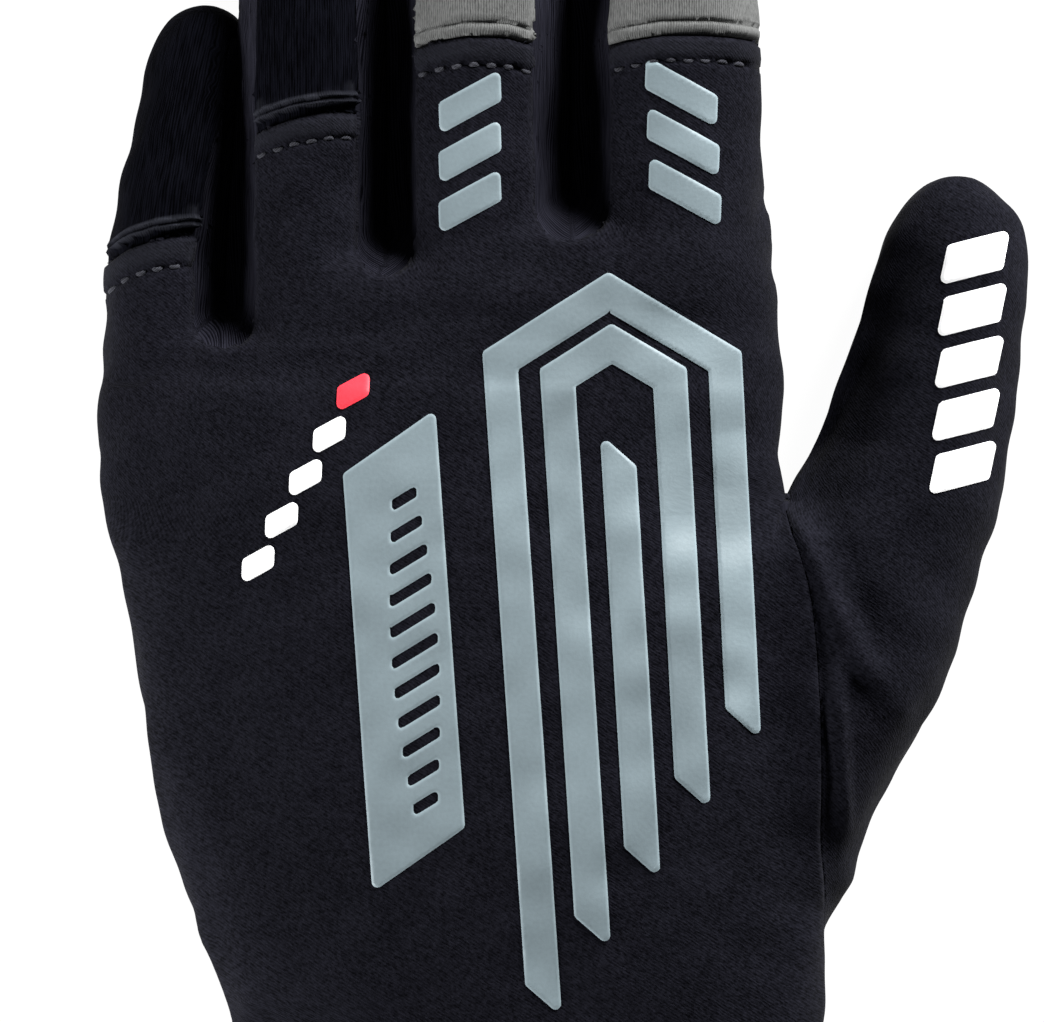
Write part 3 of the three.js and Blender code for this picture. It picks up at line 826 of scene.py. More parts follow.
def thumb_fall(home):
    """How far the thumb's back lies below its plain form: like a roof, it slopes down from a crest, most of
    all towards the hand."""
    x, y, z = home.T
    thumb = TUBES["thumb"]
    middle, half = looked_up(thumb, y, "middle", "half")
    edge, outer_edge = middle - half, middle + half
    below_crotch = y < THUMB_Y
    edge[below_crotch] = thumb_seam_x(y[below_crotch])
    depth, reach, outer = looked_up(THUMB_FALL, y, "depth", "reach", "outer")
    inner_share = 1 - fading(x - edge, reach)
    outer_share = fading(x - edge - reach, np.maximum(outer_edge - edge - reach, 1))
    by_seam = 1 - fading(x - edge, FALL_FROM_SEAM)
    by_seam *= fading(THUMB_Y + FALL_PAST_CROTCH - y, FALL_PAST_CROTCH)
    fall = depth * inner_share**FALL_POWER * (1 - by_seam) + outer * outer_share**FALL_POWER
    return fall * fading(z - SIDE_SEAM_Z, FALL_RISE)


def pressed(points, normals):
    """Neighbouring fingers lie flat against each other, in slow waves that nest, so that nothing shows
    between them. Also how much of each point's place is fixed by that contact."""
    points = points.copy()
    touching = np.zeros(len(points))
    for index in range(3):
        left_tube, right_tube = TUBES["fingers"][index], TUBES["fingers"][index + 1]
        x, y, z = points.T.copy()
        bend = little_bend(y) if index == LITTLE else 0
        middle, half = looked_up(left_tube, y, "middle", "half")
        next_middle, next_half = looked_up(right_tube, y, "middle", "half")
        gap_middle = (middle + half + bend + next_middle - next_half) / 2
        crotch = CROTCHES[index] * PALM_LENGTH
        end = min(left_tube["end"], right_tube["end"])
        share = fading(y - crotch + 1, 3) * fading(end - y, 7)
        share *= np.interp(z, CONTACT_HEIGHTS, (0, 1, 1, 0)) * fading(np.abs(normals[:, 0]), 0.8)
        share[np.abs(x - gap_middle) > CONTACT_REACH] = 0
        wave = STAGGER * np.cos(2 * np.pi * (z - SIDE_SEAM_Z) / STAGGER_LENGTH)
        for facing in (1, -1):
            here = (normals[:, 0] * facing > 0) & ((gap_middle - x) * facing > 0)
            target = gap_middle + wave - facing * CONTACT_GAP / 2
            points[here, 0] += (share * (target - x))[here]
            touching[here] = np.maximum(touching[here], share[here])
    return points, touching


# How much of its full depth the seam beside the thumb has, at places from the wrist to the crotch
SEAM_DEPTHS = rows("y depth", (30.0, 1.0), (50.0, 0.8), (64.0, 0.35), (75.0, 0.15))
THUMB_SEAM_FOOT = 15.0

# The height of the cloth beside each kind of seam, in steps of distance from it. Edges are drawn in at the
# seam and puff up next to it, hems have their own ridges, and what lies under a neighbour is set back
PROFILES = {
    "seam_below": ((-5.5, 0), (-2.2, 0.28), (-0.9, 0.22), (-0.35, -0.3), (0, -1.1)),
    "seam_rib": ((0, -1.1), (0.9, -0.8), (1.5, 0.6), (2.0, 0.05), (2.5, 0.7), (3.2, 0.05), (5, 0)),
    "seam_grey": ((0, -0.7), (0.4, 0.0), (0.9, 0.25), (1.5, 0.25), (2.0, -0.35), (2.5, 0.2), (6, 0)),
    "row": ((-1.3, 0), (-0.6, -0.05), (0, -0.42), (0.6, -0.05), (1.3, 0)),
    "strip_out": ((0, -0.55), (0.45, 0.08), (1.0, 0.3), (2.4, 0.08), (4, 0)),
    "strip_in": ((-6, -0.8), (-1.4, -1.1), (-0.5, -0.9), (0, -0.7)),
    "thumb_out": ((0, 0.0), (0.6, 0.3), (1.8, 0.2), (5, 0)),
    "thumb_in": ((-3.4, 0), (-2.0, -0.45), (-0.8, -0.75), (0, -0.6)),
    "side": ((-2.0, 0), (-0.5, -0.06), (0, -0.4), (0.5, -0.06), (2.0, 0)),
    "cuff": ((-3.0, 0), (-0.9, 0.1), (0, -0.6), (0.9, 0.12), (3.0, 0)),
    "hem": ((-8.0, 0.8), (-0.7, 0.8), (-0.01, 0.15), (0.01, -0.5), (0.6, -0.1), (2.5, 0)),
}
GREY_BACKS = ("middle_finger_back", "index_finger_back")
# How far below each finger's seam its row of stitches lies
ROW_DROPS = (4.6, 3.9, 4.3, 3.9)
STITCH_PITCH = 2.5


def row_y(x):
    """The row of stitches on the back panel, below each finger's seam."""
    found = np.full(len(x), FAR)
    for index in range(4):
        here = over_finger(index, x)
        found[here] = finger_seam_y(x, ROW_DROPS[index])[here]
    return found


SEAMS = {
    "cut_end": lambda p: p[:, 1] + CUFF_LENGTH,
    "hem": lambda p: p[:, 1] - HEM_Y,
    "cuff": lambda p: p[:, 1],
    "side": lambda p: p[:, 2] - side_seam_z(p),
    "thumb": thumb_side,
    **{f"strip_{index}": side for index, side in enumerate(strip_sides)},
    "seam": lambda p: p[:, 1] - finger_seam_y(p[:, 0]),
    "row": lambda p: p[:, 1] - row_y(p[:, 0]),
}
# Further lines beside each seam where the surface needs an edge of its own
BESIDE = {
    "hem": (-0.7, 0.6),
    "cuff": (-0.9, 0.9),
    "side": (-0.5, 0.5),
    "thumb": (-1.2, -0.5, 0.6),
    "strip_0": (-1.4, -0.5, 0.45, 1.0),
    "strip_1": (-1.4, -0.5, 0.45, 1.0),
    "strip_2": (-1.4, -0.5, 0.45, 1.0),
    "seam": (-0.9, -0.35, 0.4, 0.9, 1.5, 2.0, 2.5, 3.2),
    "row": (-0.6, 0.6),
}


def profile(key, distance, past=0):
    """The height of a profile at distances from its seam. Past its ends it is 0, or level with None."""
    along, height = np.array(PROFILES[key]).T
    return np.interp(distance, along, height, left=past, right=past)


def thumb_relief(name, at):
    """How far the cloth beside the thumb's upper seam rises or falls straight up or down."""
    fade = fading(at[:, 2] - SIDE_SEAM_Z, 4) * fading(at[:, 1] - THUMB_SEAM_FOOT, 6)
    fade *= fading(THUMB_Y - 1 - at[:, 1], 6)
    if name == "thumb_back":
        shallower = looked_up(SEAM_DEPTHS, at[:, 1], "depth")
        return profile("thumb_in", thumb_side(at)) * fade * shallower - thumb_fall(at)
    return profile("thumb_out", thumb_side(at)) * fade


# By how much of a row's dip the cloth is pulled further in, and less, from stitch to stitch
STITCH_PULL = 0.35


def relief_of(name, at):
    """How far the panel's cloth stands out of the plain form, at each of its points."""
    strips = np.min([side(at) for side in strip_sides], axis=0)
    above = at[:, 2] - SIDE_SEAM_Z
    side_dip = profile("side", SEAMS["side"](at)) * fading(strips + 2.5, 2.5)
    side_dip *= fading(np.hypot(at[:, 0] - THUMB_X, at[:, 1] - THUMB_Y) - 3, 3)
    if name == "cuff_hem":
        return profile("hem", SEAMS["hem"](at), None)
    if name == "cuff":
        parts = [profile("hem", SEAMS["hem"](at), None), profile("cuff", at[:, 1])]
    else:
        parts = [profile("cuff", at[:, 1]), side_dip]
    if "gusset" in name:
        parts.append(profile("strip_in", strips, None) * fading(above - 1, 4))
    elif "finger_back" in name or name == "back_panel":
        parts.append(profile("strip_out", strips))
    if "finger_back" in name:
        seam = profile("seam_grey" if name in GREY_BACKS else "seam_rib", SEAMS["seam"](at))
        parts.append(seam * np.clip(above / 7, 0.35, 1))
    elif name == "back_panel":
        parts.append(profile("seam_below", SEAMS["seam"](at)))
        pull = 1 + STITCH_PULL * np.cos(2 * np.pi * at[:, 0] / STITCH_PITCH)
        parts.append(profile("row", SEAMS["row"](at)) * pull)
    parts = np.array(parts)
    low, high = np.minimum(parts.min(0), 0), np.maximum(parts.max(0), 0)
    return low + high * np.clip(1 + low / 0.3, 0, 1)


# The whole outer surface, then its panels
low = (-PALM_WIDTH * 0.56, -CUFF_LENGTH - 2.0, -2.0)
high = (THUMB_X + 1.6 * THUMB_WIDTH, PALM_LENGTH * 1.68, PALM_THICKNESS + 2.0)
points, quads = grid_surface(glove_distance, low, high, GRID_STEP)
points = drawn_to(glove_distance, points)
tris = np.vstack([quads[:, [0, 1, 2]], quads[:, [0, 2, 3]]])
home = points.copy()
points = swollen(points, normals_of(points, tris))
points, touching = pressed(points, normals_of(points, tris))
normals = normals_of(points, tris)
points = points + normals * (fold_push(points, normals) * (1 - touching))[:, None]
points[:, 2] = np.maximum(points[:, 2], 0.0)
# Cut along the seams where the cloth was before it was pushed about, so that they follow it
joined = np.hstack([points, home])
for name, side in SEAMS.items():
    if name != "row":
        joined, tris = cut(joined, tris, lambda p: side(p[:, 3:]))
for name, offsets in BESIDE.items():
    for offset in offsets:
        joined, tris = cut(joined, tris, lambda p: SEAMS[name](p[:, 3:]) - offset, snap=0.1)
joined, tris = cut(joined, tris, lambda p: SEAMS["row"](p[:, 3:]), snap=0.1)
points, home = joined[:, :3], joined[:, 3:]
tris = tris[home[tris][:, :, 1].mean(1) > -CUFF_LENGTH]
normals = normals_of(points, tris)
panel_names = panel_of(home[tris].mean(1))

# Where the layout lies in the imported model's frame
shift = np.array([
    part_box("back_panel")[0].x * 1000 - HAND_ROWS["left"].min() * PALM_WIDTH,
    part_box("cuff_hem")[0].y * 1000 + CUFF_LENGTH,
    0.0,
])


def to_frame(at):
    return (np.asarray(at, float) + shift) / 1000


def boundary_of(tris):
    """The directed edges that only one triangle has."""
    sides = np.vstack([tris[:, [0, 1]], tris[:, [1, 2]], tris[:, [2, 0]]])
    low, high = sides.min(1), sides.max(1)
    codes = low * (high.max() + 1) + high
    _, back, counts = np.unique(codes, return_inverse=True, return_counts=True)
    return sides[counts[back] == 1]


def submesh(points, tris, *others):
    """Only the points that the triangles use, and what else goes with each point."""
    used, back = np.unique(tris, return_inverse=True)
    return (points[used], back.reshape(-1, 3), *(other[used] for other in others))


def thickened(points, tris, normals, wall):
    """A closed shell: the outer surface, the inner one a wall below it, and the rim between. The wall may
    differ from point to point."""
    inner = points - normals * wall
    rim = boundary_of(tris)
    count = len(points)
    a, b = rim.T
    sides = [np.stack([b, a, a + count], 1), np.stack([b, a + count, b + count], 1)]
    return np.vstack([points, inner]), np.vstack([tris, tris[:, ::-1] + count, *sides])


# The weave beside the thumb runs straight across this far in from its crotch, and fades to that
SADDLE_REACH = 12.0
SADDLE_FADE = 6.0


def weave_of(points, of_thumb):
    """Cloth coordinates in millimetres: how far round from the top or the bottom of the nearest tube, and
    along it."""
    tubes = [TUBES["thumb"]] if of_thumb else [TUBES["hand"], *TUBES["fingers"]]
    gaps = np.stack([tube_distance(tube, points, margin=30.0) for tube in tubes])
    nearest = gaps.argmin(0)
    around = np.zeros(len(points))
    for n, tube in enumerate(tubes):
        here = nearest == n
        x, y, z = points[here].T
        middle, widest, rise = looked_up(tube, y, "middle", "widest", "rise")
        fallen = np.where(z > SIDE_SEAM_Z, np.maximum(widest + rise - z, 0), z)
        if tube is TUBES["hand"]:
            past_thumb = (np.abs(y - THUMB_Y / 2) - THUMB_Y / 2) / SADDLE_FADE
            fallen *= np.clip(past_thumb + fading(THUMB_X - SADDLE_REACH - x, SADDLE_FADE), 0, 1)
        around[here] = x + np.sign(x - middle) * fallen
    return np.stack([around, points[:, 1], np.zeros(len(points))], 1)


def make_object(name, points, faces, material, weave, rim=None):
    mesh = bpy.data.meshes.new(name)
    mesh.vertices.add(len(points))
    mesh.vertices.foreach_set("co", to_frame(points).astype(np.float32).ravel())
    faces = np.asarray(faces)
    mesh.loops.add(faces.size)
    mesh.loops.foreach_set("vertex_index", faces.astype(np.int32).ravel())
    mesh.polygons.add(len(faces))
    mesh.polygons.foreach_set("loop_start", np.arange(0, faces.size, faces.shape[1], dtype=np.int32))
    mesh.update(calc_edges=True)
    mesh.polygons.foreach_set("use_smooth", np.ones(len(faces), bool))
    layer = mesh.attributes.new("weave", "FLOAT_VECTOR", "POINT")
    layer.data.foreach_set("vector", weave.astype(np.float32).ravel())
    # The rim attribute is the share of painted highlight: on cloth its raised ridges by the fingers' seams,
    # on films their rims
    if rim is not None:
        layer = mesh.attributes.new("rim", "FLOAT", "POINT")
        layer.data.foreach_set("value", rim.astype(np.float32))
    mesh.validate()
    mesh.materials.append(material)
    piece = bpy.data.objects.new(name, mesh)
    bpy.context.scene.collection.objects.link(piece)
    return piece


def dress(piece, slot, *nodes):
    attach(piece, "root")
    if nodes:
        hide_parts(*nodes)


def node_maker(material):
    tree = material.node_tree

    def add(kind, inputs=(), **settings):
        node = tree.nodes.new(kind)
        for key, value in settings.items():
            setattr(node, key, value)
        for key, value in dict(inputs).items():
            if isinstance(value, bpy.types.NodeSocket):
                tree.links.new(value, node.inputs[key])
            else:
                node.inputs[key].default_value = value
        return node

    return add


def new_material(name):
    material = bpy.data.materials.new(name)
    material.use_nodes = True
    return material, node_maker(material), material.node_tree.nodes["Principled BSDF"]


def set_ramp(ramp, low, dark, high, light):
    start, end = ramp.color_ramp.elements
    start.position, start.color = low, (*dark, 1)
    end.position, end.color = high, (*light, 1)


def set_surface(material, shader, colour, bump, rough, specular):
    material.node_tree.links.new(colour.outputs["Color"], shader.inputs["Base Color"])
    material.node_tree.links.new(bump.outputs["Normal"], shader.inputs["Normal"])
    shader.inputs["Roughness"].default_value = rough
    shader.inputs["Specular IOR Level"].default_value = specular
    return material


# Painted highlight: the paler colour laid on raised cloth ridges, standing in for the light they catch
RIDGE_HIGHLIGHT = (0.020, 0.021, 0.027)


def cloth_material(
    name, dark, light, stroke, turn, stretch, depth, sheen=0.0, specular=0.04, patches=0.25,
    rows_weight=0.45, spread=0.3, ridge_highlight=RIDGE_HIGHLIGHT
):
    """Knit or woven cloth: strokes in rows, with soft uneven patches, and a painted highlight on its raised
    ridges. The stroke is the rows' pitch in mm, turn how far they lean, spread how soft the step from dark
    to light."""
    material, add, shader = new_material(name)
    place = add("ShaderNodeAttribute", attribute_name="weave")
    turned = add("ShaderNodeMapping", {"Vector": place.outputs["Vector"], "Rotation": (0, 0, turn)})
    strokes = add("ShaderNodeMapping", {"Vector": turned.outputs[0],
                                        "Scale": (1 / stroke, stretch / stroke, 1)})
    wobble = add("ShaderNodeTexNoise", {"Vector": strokes.outputs[0], "Scale": 0.35, "Detail": 1.0})
    shifted = add("ShaderNodeMixRGB", {0: 0.9, 1: strokes.outputs[0], 2: wobble.outputs["Color"]},
                  blend_type="ADD")
    fleck = add("ShaderNodeTexNoise", {"Vector": shifted.outputs[0], "Scale": 1.1, "Detail": 2.0,
                                       "Roughness": 0.6})
    band = add("ShaderNodeTexWave", {"Vector": shifted.outputs[0], "Scale": 0.32, "Distortion": 1.2,
                                     "Detail": 1.0, "Detail Scale": 2.0})
    pattern = add("ShaderNodeMath", {0: band.outputs["Fac"], 1: rows_weight, 2: fleck.outputs["Fac"]},
                  operation="MULTIPLY_ADD")
    wide = add("ShaderNodeTexNoise", {"Vector": place.outputs["Vector"], "Scale": 0.06, "Detail": 3.0})
    mixed = add("ShaderNodeMath", {0: wide.outputs["Fac"], 1: patches, 2: pattern.outputs[0]},
                operation="MULTIPLY_ADD")
    ramp = add("ShaderNodeValToRGB", {"Fac": mixed.outputs[0]})
    middle = 0.5 + 0.5 * rows_weight + 0.5 * patches
    set_ramp(ramp, middle - spread, dark, middle + spread, light)
    highlight_share = add("ShaderNodeAttribute", attribute_name="rim")
    # Painted highlight: the ridge colour mixed in where the rim attribute marks raised cloth
    highlighted_colour = add("ShaderNodeMixRGB", {0: highlight_share.outputs["Fac"], 1: ramp.outputs["Color"], 2: (*ridge_highlight, 1)})
    bump = add("ShaderNodeBump", {"Height": pattern.outputs[0], "Strength": 0.8, "Distance": depth / 1000})
    shader.inputs["Sheen Weight"].default_value = sheen
    shader.inputs["Sheen Roughness"].default_value = 0.5
    return set_surface(material, shader, highlighted_colour, bump, 0.9, specular)


def print_material(name, colour):
    """Heat-pressed film: almost even in colour, with a painted highlight at its rim, the cloth's grain
    faintly through it.
    """
    material, add, shader = new_material(name)
    place = add("ShaderNodeAttribute", attribute_name="weave")
    rim = add("ShaderNodeAttribute", attribute_name="rim")
    fine = add("ShaderNodeTexNoise", {"Vector": place.outputs["Vector"], "Scale": 1.6, "Detail": 2.0})
    wide = add("ShaderNodeTexNoise", {"Vector": place.outputs["Vector"], "Scale": 0.07, "Detail": 2.0})
    mixed = add("ShaderNodeMath", {0: fine.outputs["Fac"], 1: 0.35, 2: wide.outputs["Fac"]},
                operation="MULTIPLY_ADD")
    ramp = add("ShaderNodeValToRGB", {"Fac": mixed.outputs[0]})
    set_ramp(ramp, 0.45, [0.86 * c for c in colour], 0.9, [min(1.0, 1.12 * c) for c in colour])
    # Painted highlight: the film's colour made paler towards its rim
    edge = add("ShaderNodeMixRGB", {0: rim.outputs["Fac"], 1: ramp.outputs["Color"],
                                    2: (*(min(1.0, 1.35 * c) for c in colour), 1)})
    bump = add("ShaderNodeBump", {"Height": fine.outputs["Fac"], "Strength": 0.3, "Distance": 0.0001})
    return set_surface(material, shader, edge, bump, 0.5, 0.2)


TWILL_TURN = math.radians(-58)
KNIT = cloth_material("knit", (0.0003, 0.0003, 0.0012), (0.0092, 0.0093, 0.0143), 0.42, TWILL_TURN, 0.60,
                      0.16, sheen=0.01, rows_weight=0.16, spread=0.24)
STRIP_KNIT = cloth_material("strip_rib", (0.0010, 0.0010, 0.0025), (0.0140, 0.0140, 0.0210), 0.50, 0.0, 0.08,
                            0.16, spread=0.2)
RIB = cloth_material("fine_rib", (0.0001, 0.0001, 0.0004), (0.0030, 0.0032, 0.0055), 0.45, 0.0, 0.12, 0.14,
                     rows_weight=0.3, spread=0.2, specular=0.015)
CUFF_RIB = cloth_material("cuff_rib", (0.0012, 0.0012, 0.0022), (0.0090, 0.0090, 0.0125), 1.1, 0.0, 0.06,
                          0.35, sheen=0.02)
SUEDE = cloth_material("suede", (0.0040, 0.0040, 0.0055), (0.0140, 0.0140, 0.0170), 0.5, 0.3, 1.0, 0.10,
                       sheen=0.05, patches=0.5, rows_weight=0.0)
# The grey cloth's painted ridge highlight is a paler grey
GREY_STRETCH = cloth_material("grey_stretch", (0.058, 0.059, 0.058), (0.130, 0.132, 0.130), 0.42, 0.0, 0.5,
                              0.10, patches=0.15, ridge_highlight=(0.150, 0.152, 0.150))
THREAD = cloth_material("thread", (0.010, 0.010, 0.014), (0.040, 0.041, 0.050), 0.25, 0.9, 0.3, 0.08,
                        specular=0.15)
GREY_PRINT = print_material("grey_print", (0.178, 0.225, 0.245))
WHITE_PRINT = print_material("white_print", (0.92, 0.92, 0.93))
RED_PRINT = print_material("red_print", (0.78, 0.040, 0.060))

PANEL_LOOK = {
    "back_panel": (KNIT, "knit_black"),
    "palm_panel": (SUEDE, "suede_black"),
    "thumb_back": (KNIT, "knit_black"),
    "thumb_palm": (SUEDE, "suede_black"),
    "cuff": (CUFF_RIB, "rib_black"),
    "cuff_hem": (KNIT, "knit_black"),
    "little_finger_back": (RIB, "rib_black"),
    "ring_finger_back": (RIB, "rib_black"),
    "middle_finger_back": (GREY_STRETCH, "stretch_grey"),
    "index_finger_back": (GREY_STRETCH, "stretch_grey"),
    "little_ring_gusset": (STRIP_KNIT, "knit_black"),
    "ring_middle_gusset": (STRIP_KNIT, "knit_black"),
    "middle_index_gusset": (STRIP_KNIT, "knit_black"),
}

# Cloth this far from a finger's seam gets a painted highlight where it stands at least this high
HIGHLIGHT_REACH = 4.0
HIGHLIGHT_HEIGHT = 0.5
# The back panel's edge is turned in beside the thumb's seam, this much past what the thumb's back falls by
TUCK_WIDTH = 1.2
TUCK_DEPTH = 1.0
surface = {}


def make_panel(name, material, slot):
    """One panel's cloth, a closed shell with its relief. Its outer surface is kept for what lies on it."""
    panel, panel_tris, panel_normals, panel_home = submesh(points, tris[panel_names == name], normals, home)
    weave = weave_of(panel_home, name.startswith("thumb"))
    relief = relief_of(name, panel_home)
    # Painted highlight share: raised cloth near a finger's seam is coloured paler, as if lit
    highlight_share = fading(relief, HIGHLIGHT_HEIGHT) ** 2 * (np.abs(SEAMS["seam"](panel_home)) < HIGHLIGHT_REACH)
    shaped = panel + panel_normals * relief[:, None]
    wall = np.full(len(panel), FABRIC)
    if name in ("back_panel", "thumb_back"):
        shaped[:, 2] += thumb_relief(name, panel_home)
    if name == "back_panel":
        tucked = np.exp(-((thumb_side(panel_home) / TUCK_WIDTH) ** 2)) * np.maximum(panel_normals[:, 2], 0)
        tucked *= fading(THUMB_Y - 3 - panel_home[:, 1], 6)
        wall += tucked * (thumb_fall(panel_home) + TUCK_DEPTH)
    shaped[:, 2] = np.maximum(shaped[:, 2], 0.0)
    surface[name] = (shaped, panel_tris, weave)
    shell, shell_faces = thickened(shaped, panel_tris, panel_normals, wall[:, None])
    piece = make_object(name + "_cloth", shell, shell_faces, material, np.vstack([weave, weave]),
                        np.concatenate([highlight_share, highlight_share]))
    dress(piece, slot, name)


for name, (material, slot) in PANEL_LOOK.items():
    make_panel(name, material, slot)

# Stitches. The thread stands up in the middle of each one and dives into the cloth at its ends
THREAD_HALF = 0.40
THREAD_RISE = 0.22
THREAD_DIVE = 0.42
STITCH_SHARE = 0.70
STITCH_RINGS = 7
STITCH_SIDES = 6
ABOVE_ALL = 60.0


def stitch_rings(skin, line, run, place):
    """Rings of points round a stitch's thread, laid on the cloth along a plan line. None off the cloth."""
    steps = np.linspace(-1, 1, STITCH_RINGS)
    hits = []
    for step in steps:
        at = place + step * STITCH_PITCH * STITCH_SHARE / 2
        x, y = (np.interp(at, run, line[:, axis]) for axis in (0, 1))
        hit, normal, _, _ = skin.ray_cast(Vector((x, y, ABOVE_ALL)), Vector((0, 0, -1)))
        if hit is None:
            return None
        hits.append((np.array(hit), np.array(normal)))
    along = hits[-1][0] - hits[0][0]
    along /= np.linalg.norm(along)
    up = hits[STITCH_RINGS // 2][1]
    beside = np.cross(along, up)
    rings = []
    for (at, _), step in zip(hits, steps):
        size = THREAD_HALF * math.sqrt(max(1 - abs(step) ** 3, 0.05))
        middle = at + up * (THREAD_RISE - THREAD_DIVE * step * step)
        for n in range(STITCH_SIDES):
            turn = 2 * math.pi * n / STITCH_SIDES
            rings.append(middle + beside * size * math.cos(turn) + up * size * math.sin(turn))
    return rings


def stitch_faces(start):
    """Triangles between a stitch's rings, whose points are numbered from the start, and over its ends."""
    last = start + (STITCH_RINGS - 1) * STITCH_SIDES
    faces = []
    for ring in range(start, last, STITCH_SIDES):
        for n in range(STITCH_SIDES):
            a, b = ring + n, ring + (n + 1) % STITCH_SIDES
            faces += [(a, b, b + STITCH_SIDES), (a, b + STITCH_SIDES, a + STITCH_SIDES)]
    for n in range(1, STITCH_SIDES - 1):
        faces += [(start, start + n + 1, start + n), (last, last + n, last + n + 1)]
    return faces


def make_stitches(name, lines, panel):
    """Stitches laid on a panel's cloth along plan lines."""
    cloth, cloth_tris, _ = surface[panel]
    skin = BVHTree.FromPolygons(cloth.tolist(), cloth_tris.tolist())
    verts, faces = [], []
    for line in lines:
        run = np.append(0, np.cumsum(np.linalg.norm(np.diff(line, axis=0), axis=1)))
        for place in np.arange(STITCH_PITCH / 2, run[-1], STITCH_PITCH):
            rings = stitch_rings(skin, line, run, place)
            if rings:
                faces += stitch_faces(len(verts))
                verts += rings
    verts = np.array(verts)
    dress(make_object(name, verts, np.array(faces), THREAD, verts), "knit_black")


# How far the rows of stitches end from the side strips, and from the hand's own two sides
ROW_END_GAP = 0.4
ROW_OUTER_GAPS = (1.0, 5.0)


def stitch_line(index):
    """The row of stitches below a finger's seam, in plan."""
    left, right = finger_span(index)
    gaps = [ROW_OUTER_GAPS[0], *(inset + FINGER_GAP / 2 for inset in STRIP_INSETS), ROW_OUTER_GAPS[1]]
    x = np.linspace(left + gaps[index] + ROW_END_GAP, right - gaps[index + 1] - ROW_END_GAP, 30)
    return np.stack([x, row_y(x)], 1)


make_stitches("finger_seam_stitches", [stitch_line(index) for index in range(4)], "back_panel")

# Prints


def band_outline(line, width, slant=0.0):
    """The outline of a band along a centre line. The ends may slant."""
    line = np.array(line, float)
    steps = np.diff(line, axis=0)
    steps /= np.linalg.norm(steps, axis=1)[:, None]
    edges = []
    for side in (1, -1):
        edge = []
        for n, point in enumerate(line):
            out = steps[min(n, len(steps) - 1)]
            into = steps[max(n - 1, 0)]
            mitre = out + into if 0 < n < len(line) - 1 else out
            mitre = mitre / np.linalg.norm(mitre)
            mitre = np.array([-mitre[1], mitre[0]])
            offset = mitre * side * width / 2 / (mitre @ np.array([-out[1], out[0]]))
            is_end = n in (0, len(line) - 1)
            edge.append(point + offset + (out * side * slant * width / 2 if is_end else 0))
        edges.append(np.array(edge))
    return np.vstack([edges[0], edges[1][::-1]])


STRIPE_WIDTH = 5.0
SHIELD_WIDTH = 14.0
STRIPES = {"first": 0.105, "pitch": 0.0855, "shoulder": 0.85, "rise": 0.085, "end": 0.06, "end_step": 0.085}
STRIPE_FOOT = {"first": 0.176, "pitch": 0.0805}
MIDDLE_STRIPE = 2
BAR_TOP = 0.74


def stripe_point(number, along):
    share = (STRIPES["shoulder"] - along) / STRIPES["shoulder"]
    top = STRIPES["first"] + number * STRIPES["pitch"]
    foot = STRIPE_FOOT["first"] + number * STRIPE_FOOT["pitch"]
    return np.array([(top + share * (foot - top)) * PALM_WIDTH, along * PALM_LENGTH])


def stripe_end(number):
    return stripe_point(number, STRIPES["end"] + number * STRIPES["end_step"])


def arch_line(reach_out):
    left, right = MIDDLE_STRIPE - reach_out, MIDDLE_STRIPE + reach_out
    rise = STRIPES["rise"] * reach_out / MIDDLE_STRIPE
    shoulder = STRIPES["shoulder"] - (STRIPES["rise"] - rise) / MIDDLE_STRIPE
    peak = stripe_point(MIDDLE_STRIPE, shoulder + rise)
    sides = [[stripe_end(stripe), stripe_point(stripe, shoulder)] for stripe in (left, right)]
    return [*sides[0], peak, *sides[1][::-1]]


def print_row(name, count, place, start, step, length, width, turn, slant):
    """Outlines of small bars in a row. Start and step are in the shares that the place is given in."""
    run = np.array([math.cos(turn), math.sin(turn)]) * length / 2
    for n in range(count):
        middle = place(start[0] + n * step[0], start[1] + n * step[1])
        yield f"{name}_{n + 1}", band_outline([middle - run, middle + run], width, slant)


BAR_LINE = [stripe_end(MIDDLE_STRIPE), stripe_point(MIDDLE_STRIPE, BAR_TOP)]
SHIELD_LINE = [palm_place(-0.018, 0.235), palm_place(-0.063, 0.75)]
SLOT_COUNT = 11
SLOT_WIDTH = 1.5
SLOT_TURN = 0.55
SLOT_SLANT = 0.6
SLOT_LENGTHS = (3.6, 4.2)
SLOTS_BESIDE_LINE = 1.6
SLOTS_END = 0.1


def shield_slots():
    """A column of slanted slots through the shield, longest in its middle."""
    foot, top = (np.array(end) for end in SHIELD_LINE)
    for n in range(SLOT_COUNT):
        share = (n + 0.5) / SLOT_COUNT
        middle = foot + (SLOTS_END + (1 - 2 * SLOTS_END) * share) * (top - foot)
        middle = middle + np.array([SLOTS_BESIDE_LINE, 0.0])
        length = SLOT_LENGTHS[0] + SLOT_LENGTHS[1] * math.sin(math.pi * share)
        run = np.array([math.cos(SLOT_TURN), math.sin(SLOT_TURN)]) * length / 2
        yield band_outline([middle - run, middle + run], SLOT_WIDTH, SLOT_SLANT)


grey_prints = {
    "outer_arch_print": band_outline(arch_line(2), STRIPE_WIDTH, 1),
    "inner_arch_print": band_outline(arch_line(1), STRIPE_WIDTH, 1),
    "bar_print": band_outline(BAR_LINE, STRIPE_WIDTH, 1),
    "shield_print": band_outline(SHIELD_LINE, SHIELD_WIDTH, -0.6),
    **dict(print_row("middle_finger_print", 3, finger_place(MIDDLE), (-0.05, 0.09), (0, 0.062),
                     FINGERS["width"][MIDDLE] * 0.42, 4.2, 0.5, 0.5)),
    **dict(print_row("index_finger_print", 3, finger_place(INDEX), (0.08, 0.06), (-0.01, 0.062),
                     FINGERS["width"][INDEX] * 0.46, 4.2, -0.5, -0.5)),
}
tick_prints = dict(print_row("tick_print", 5, palm_place, (-0.262, 0.60), (0.036, 0.053),
                             5.4, 3.2, 0.5, 0.6))
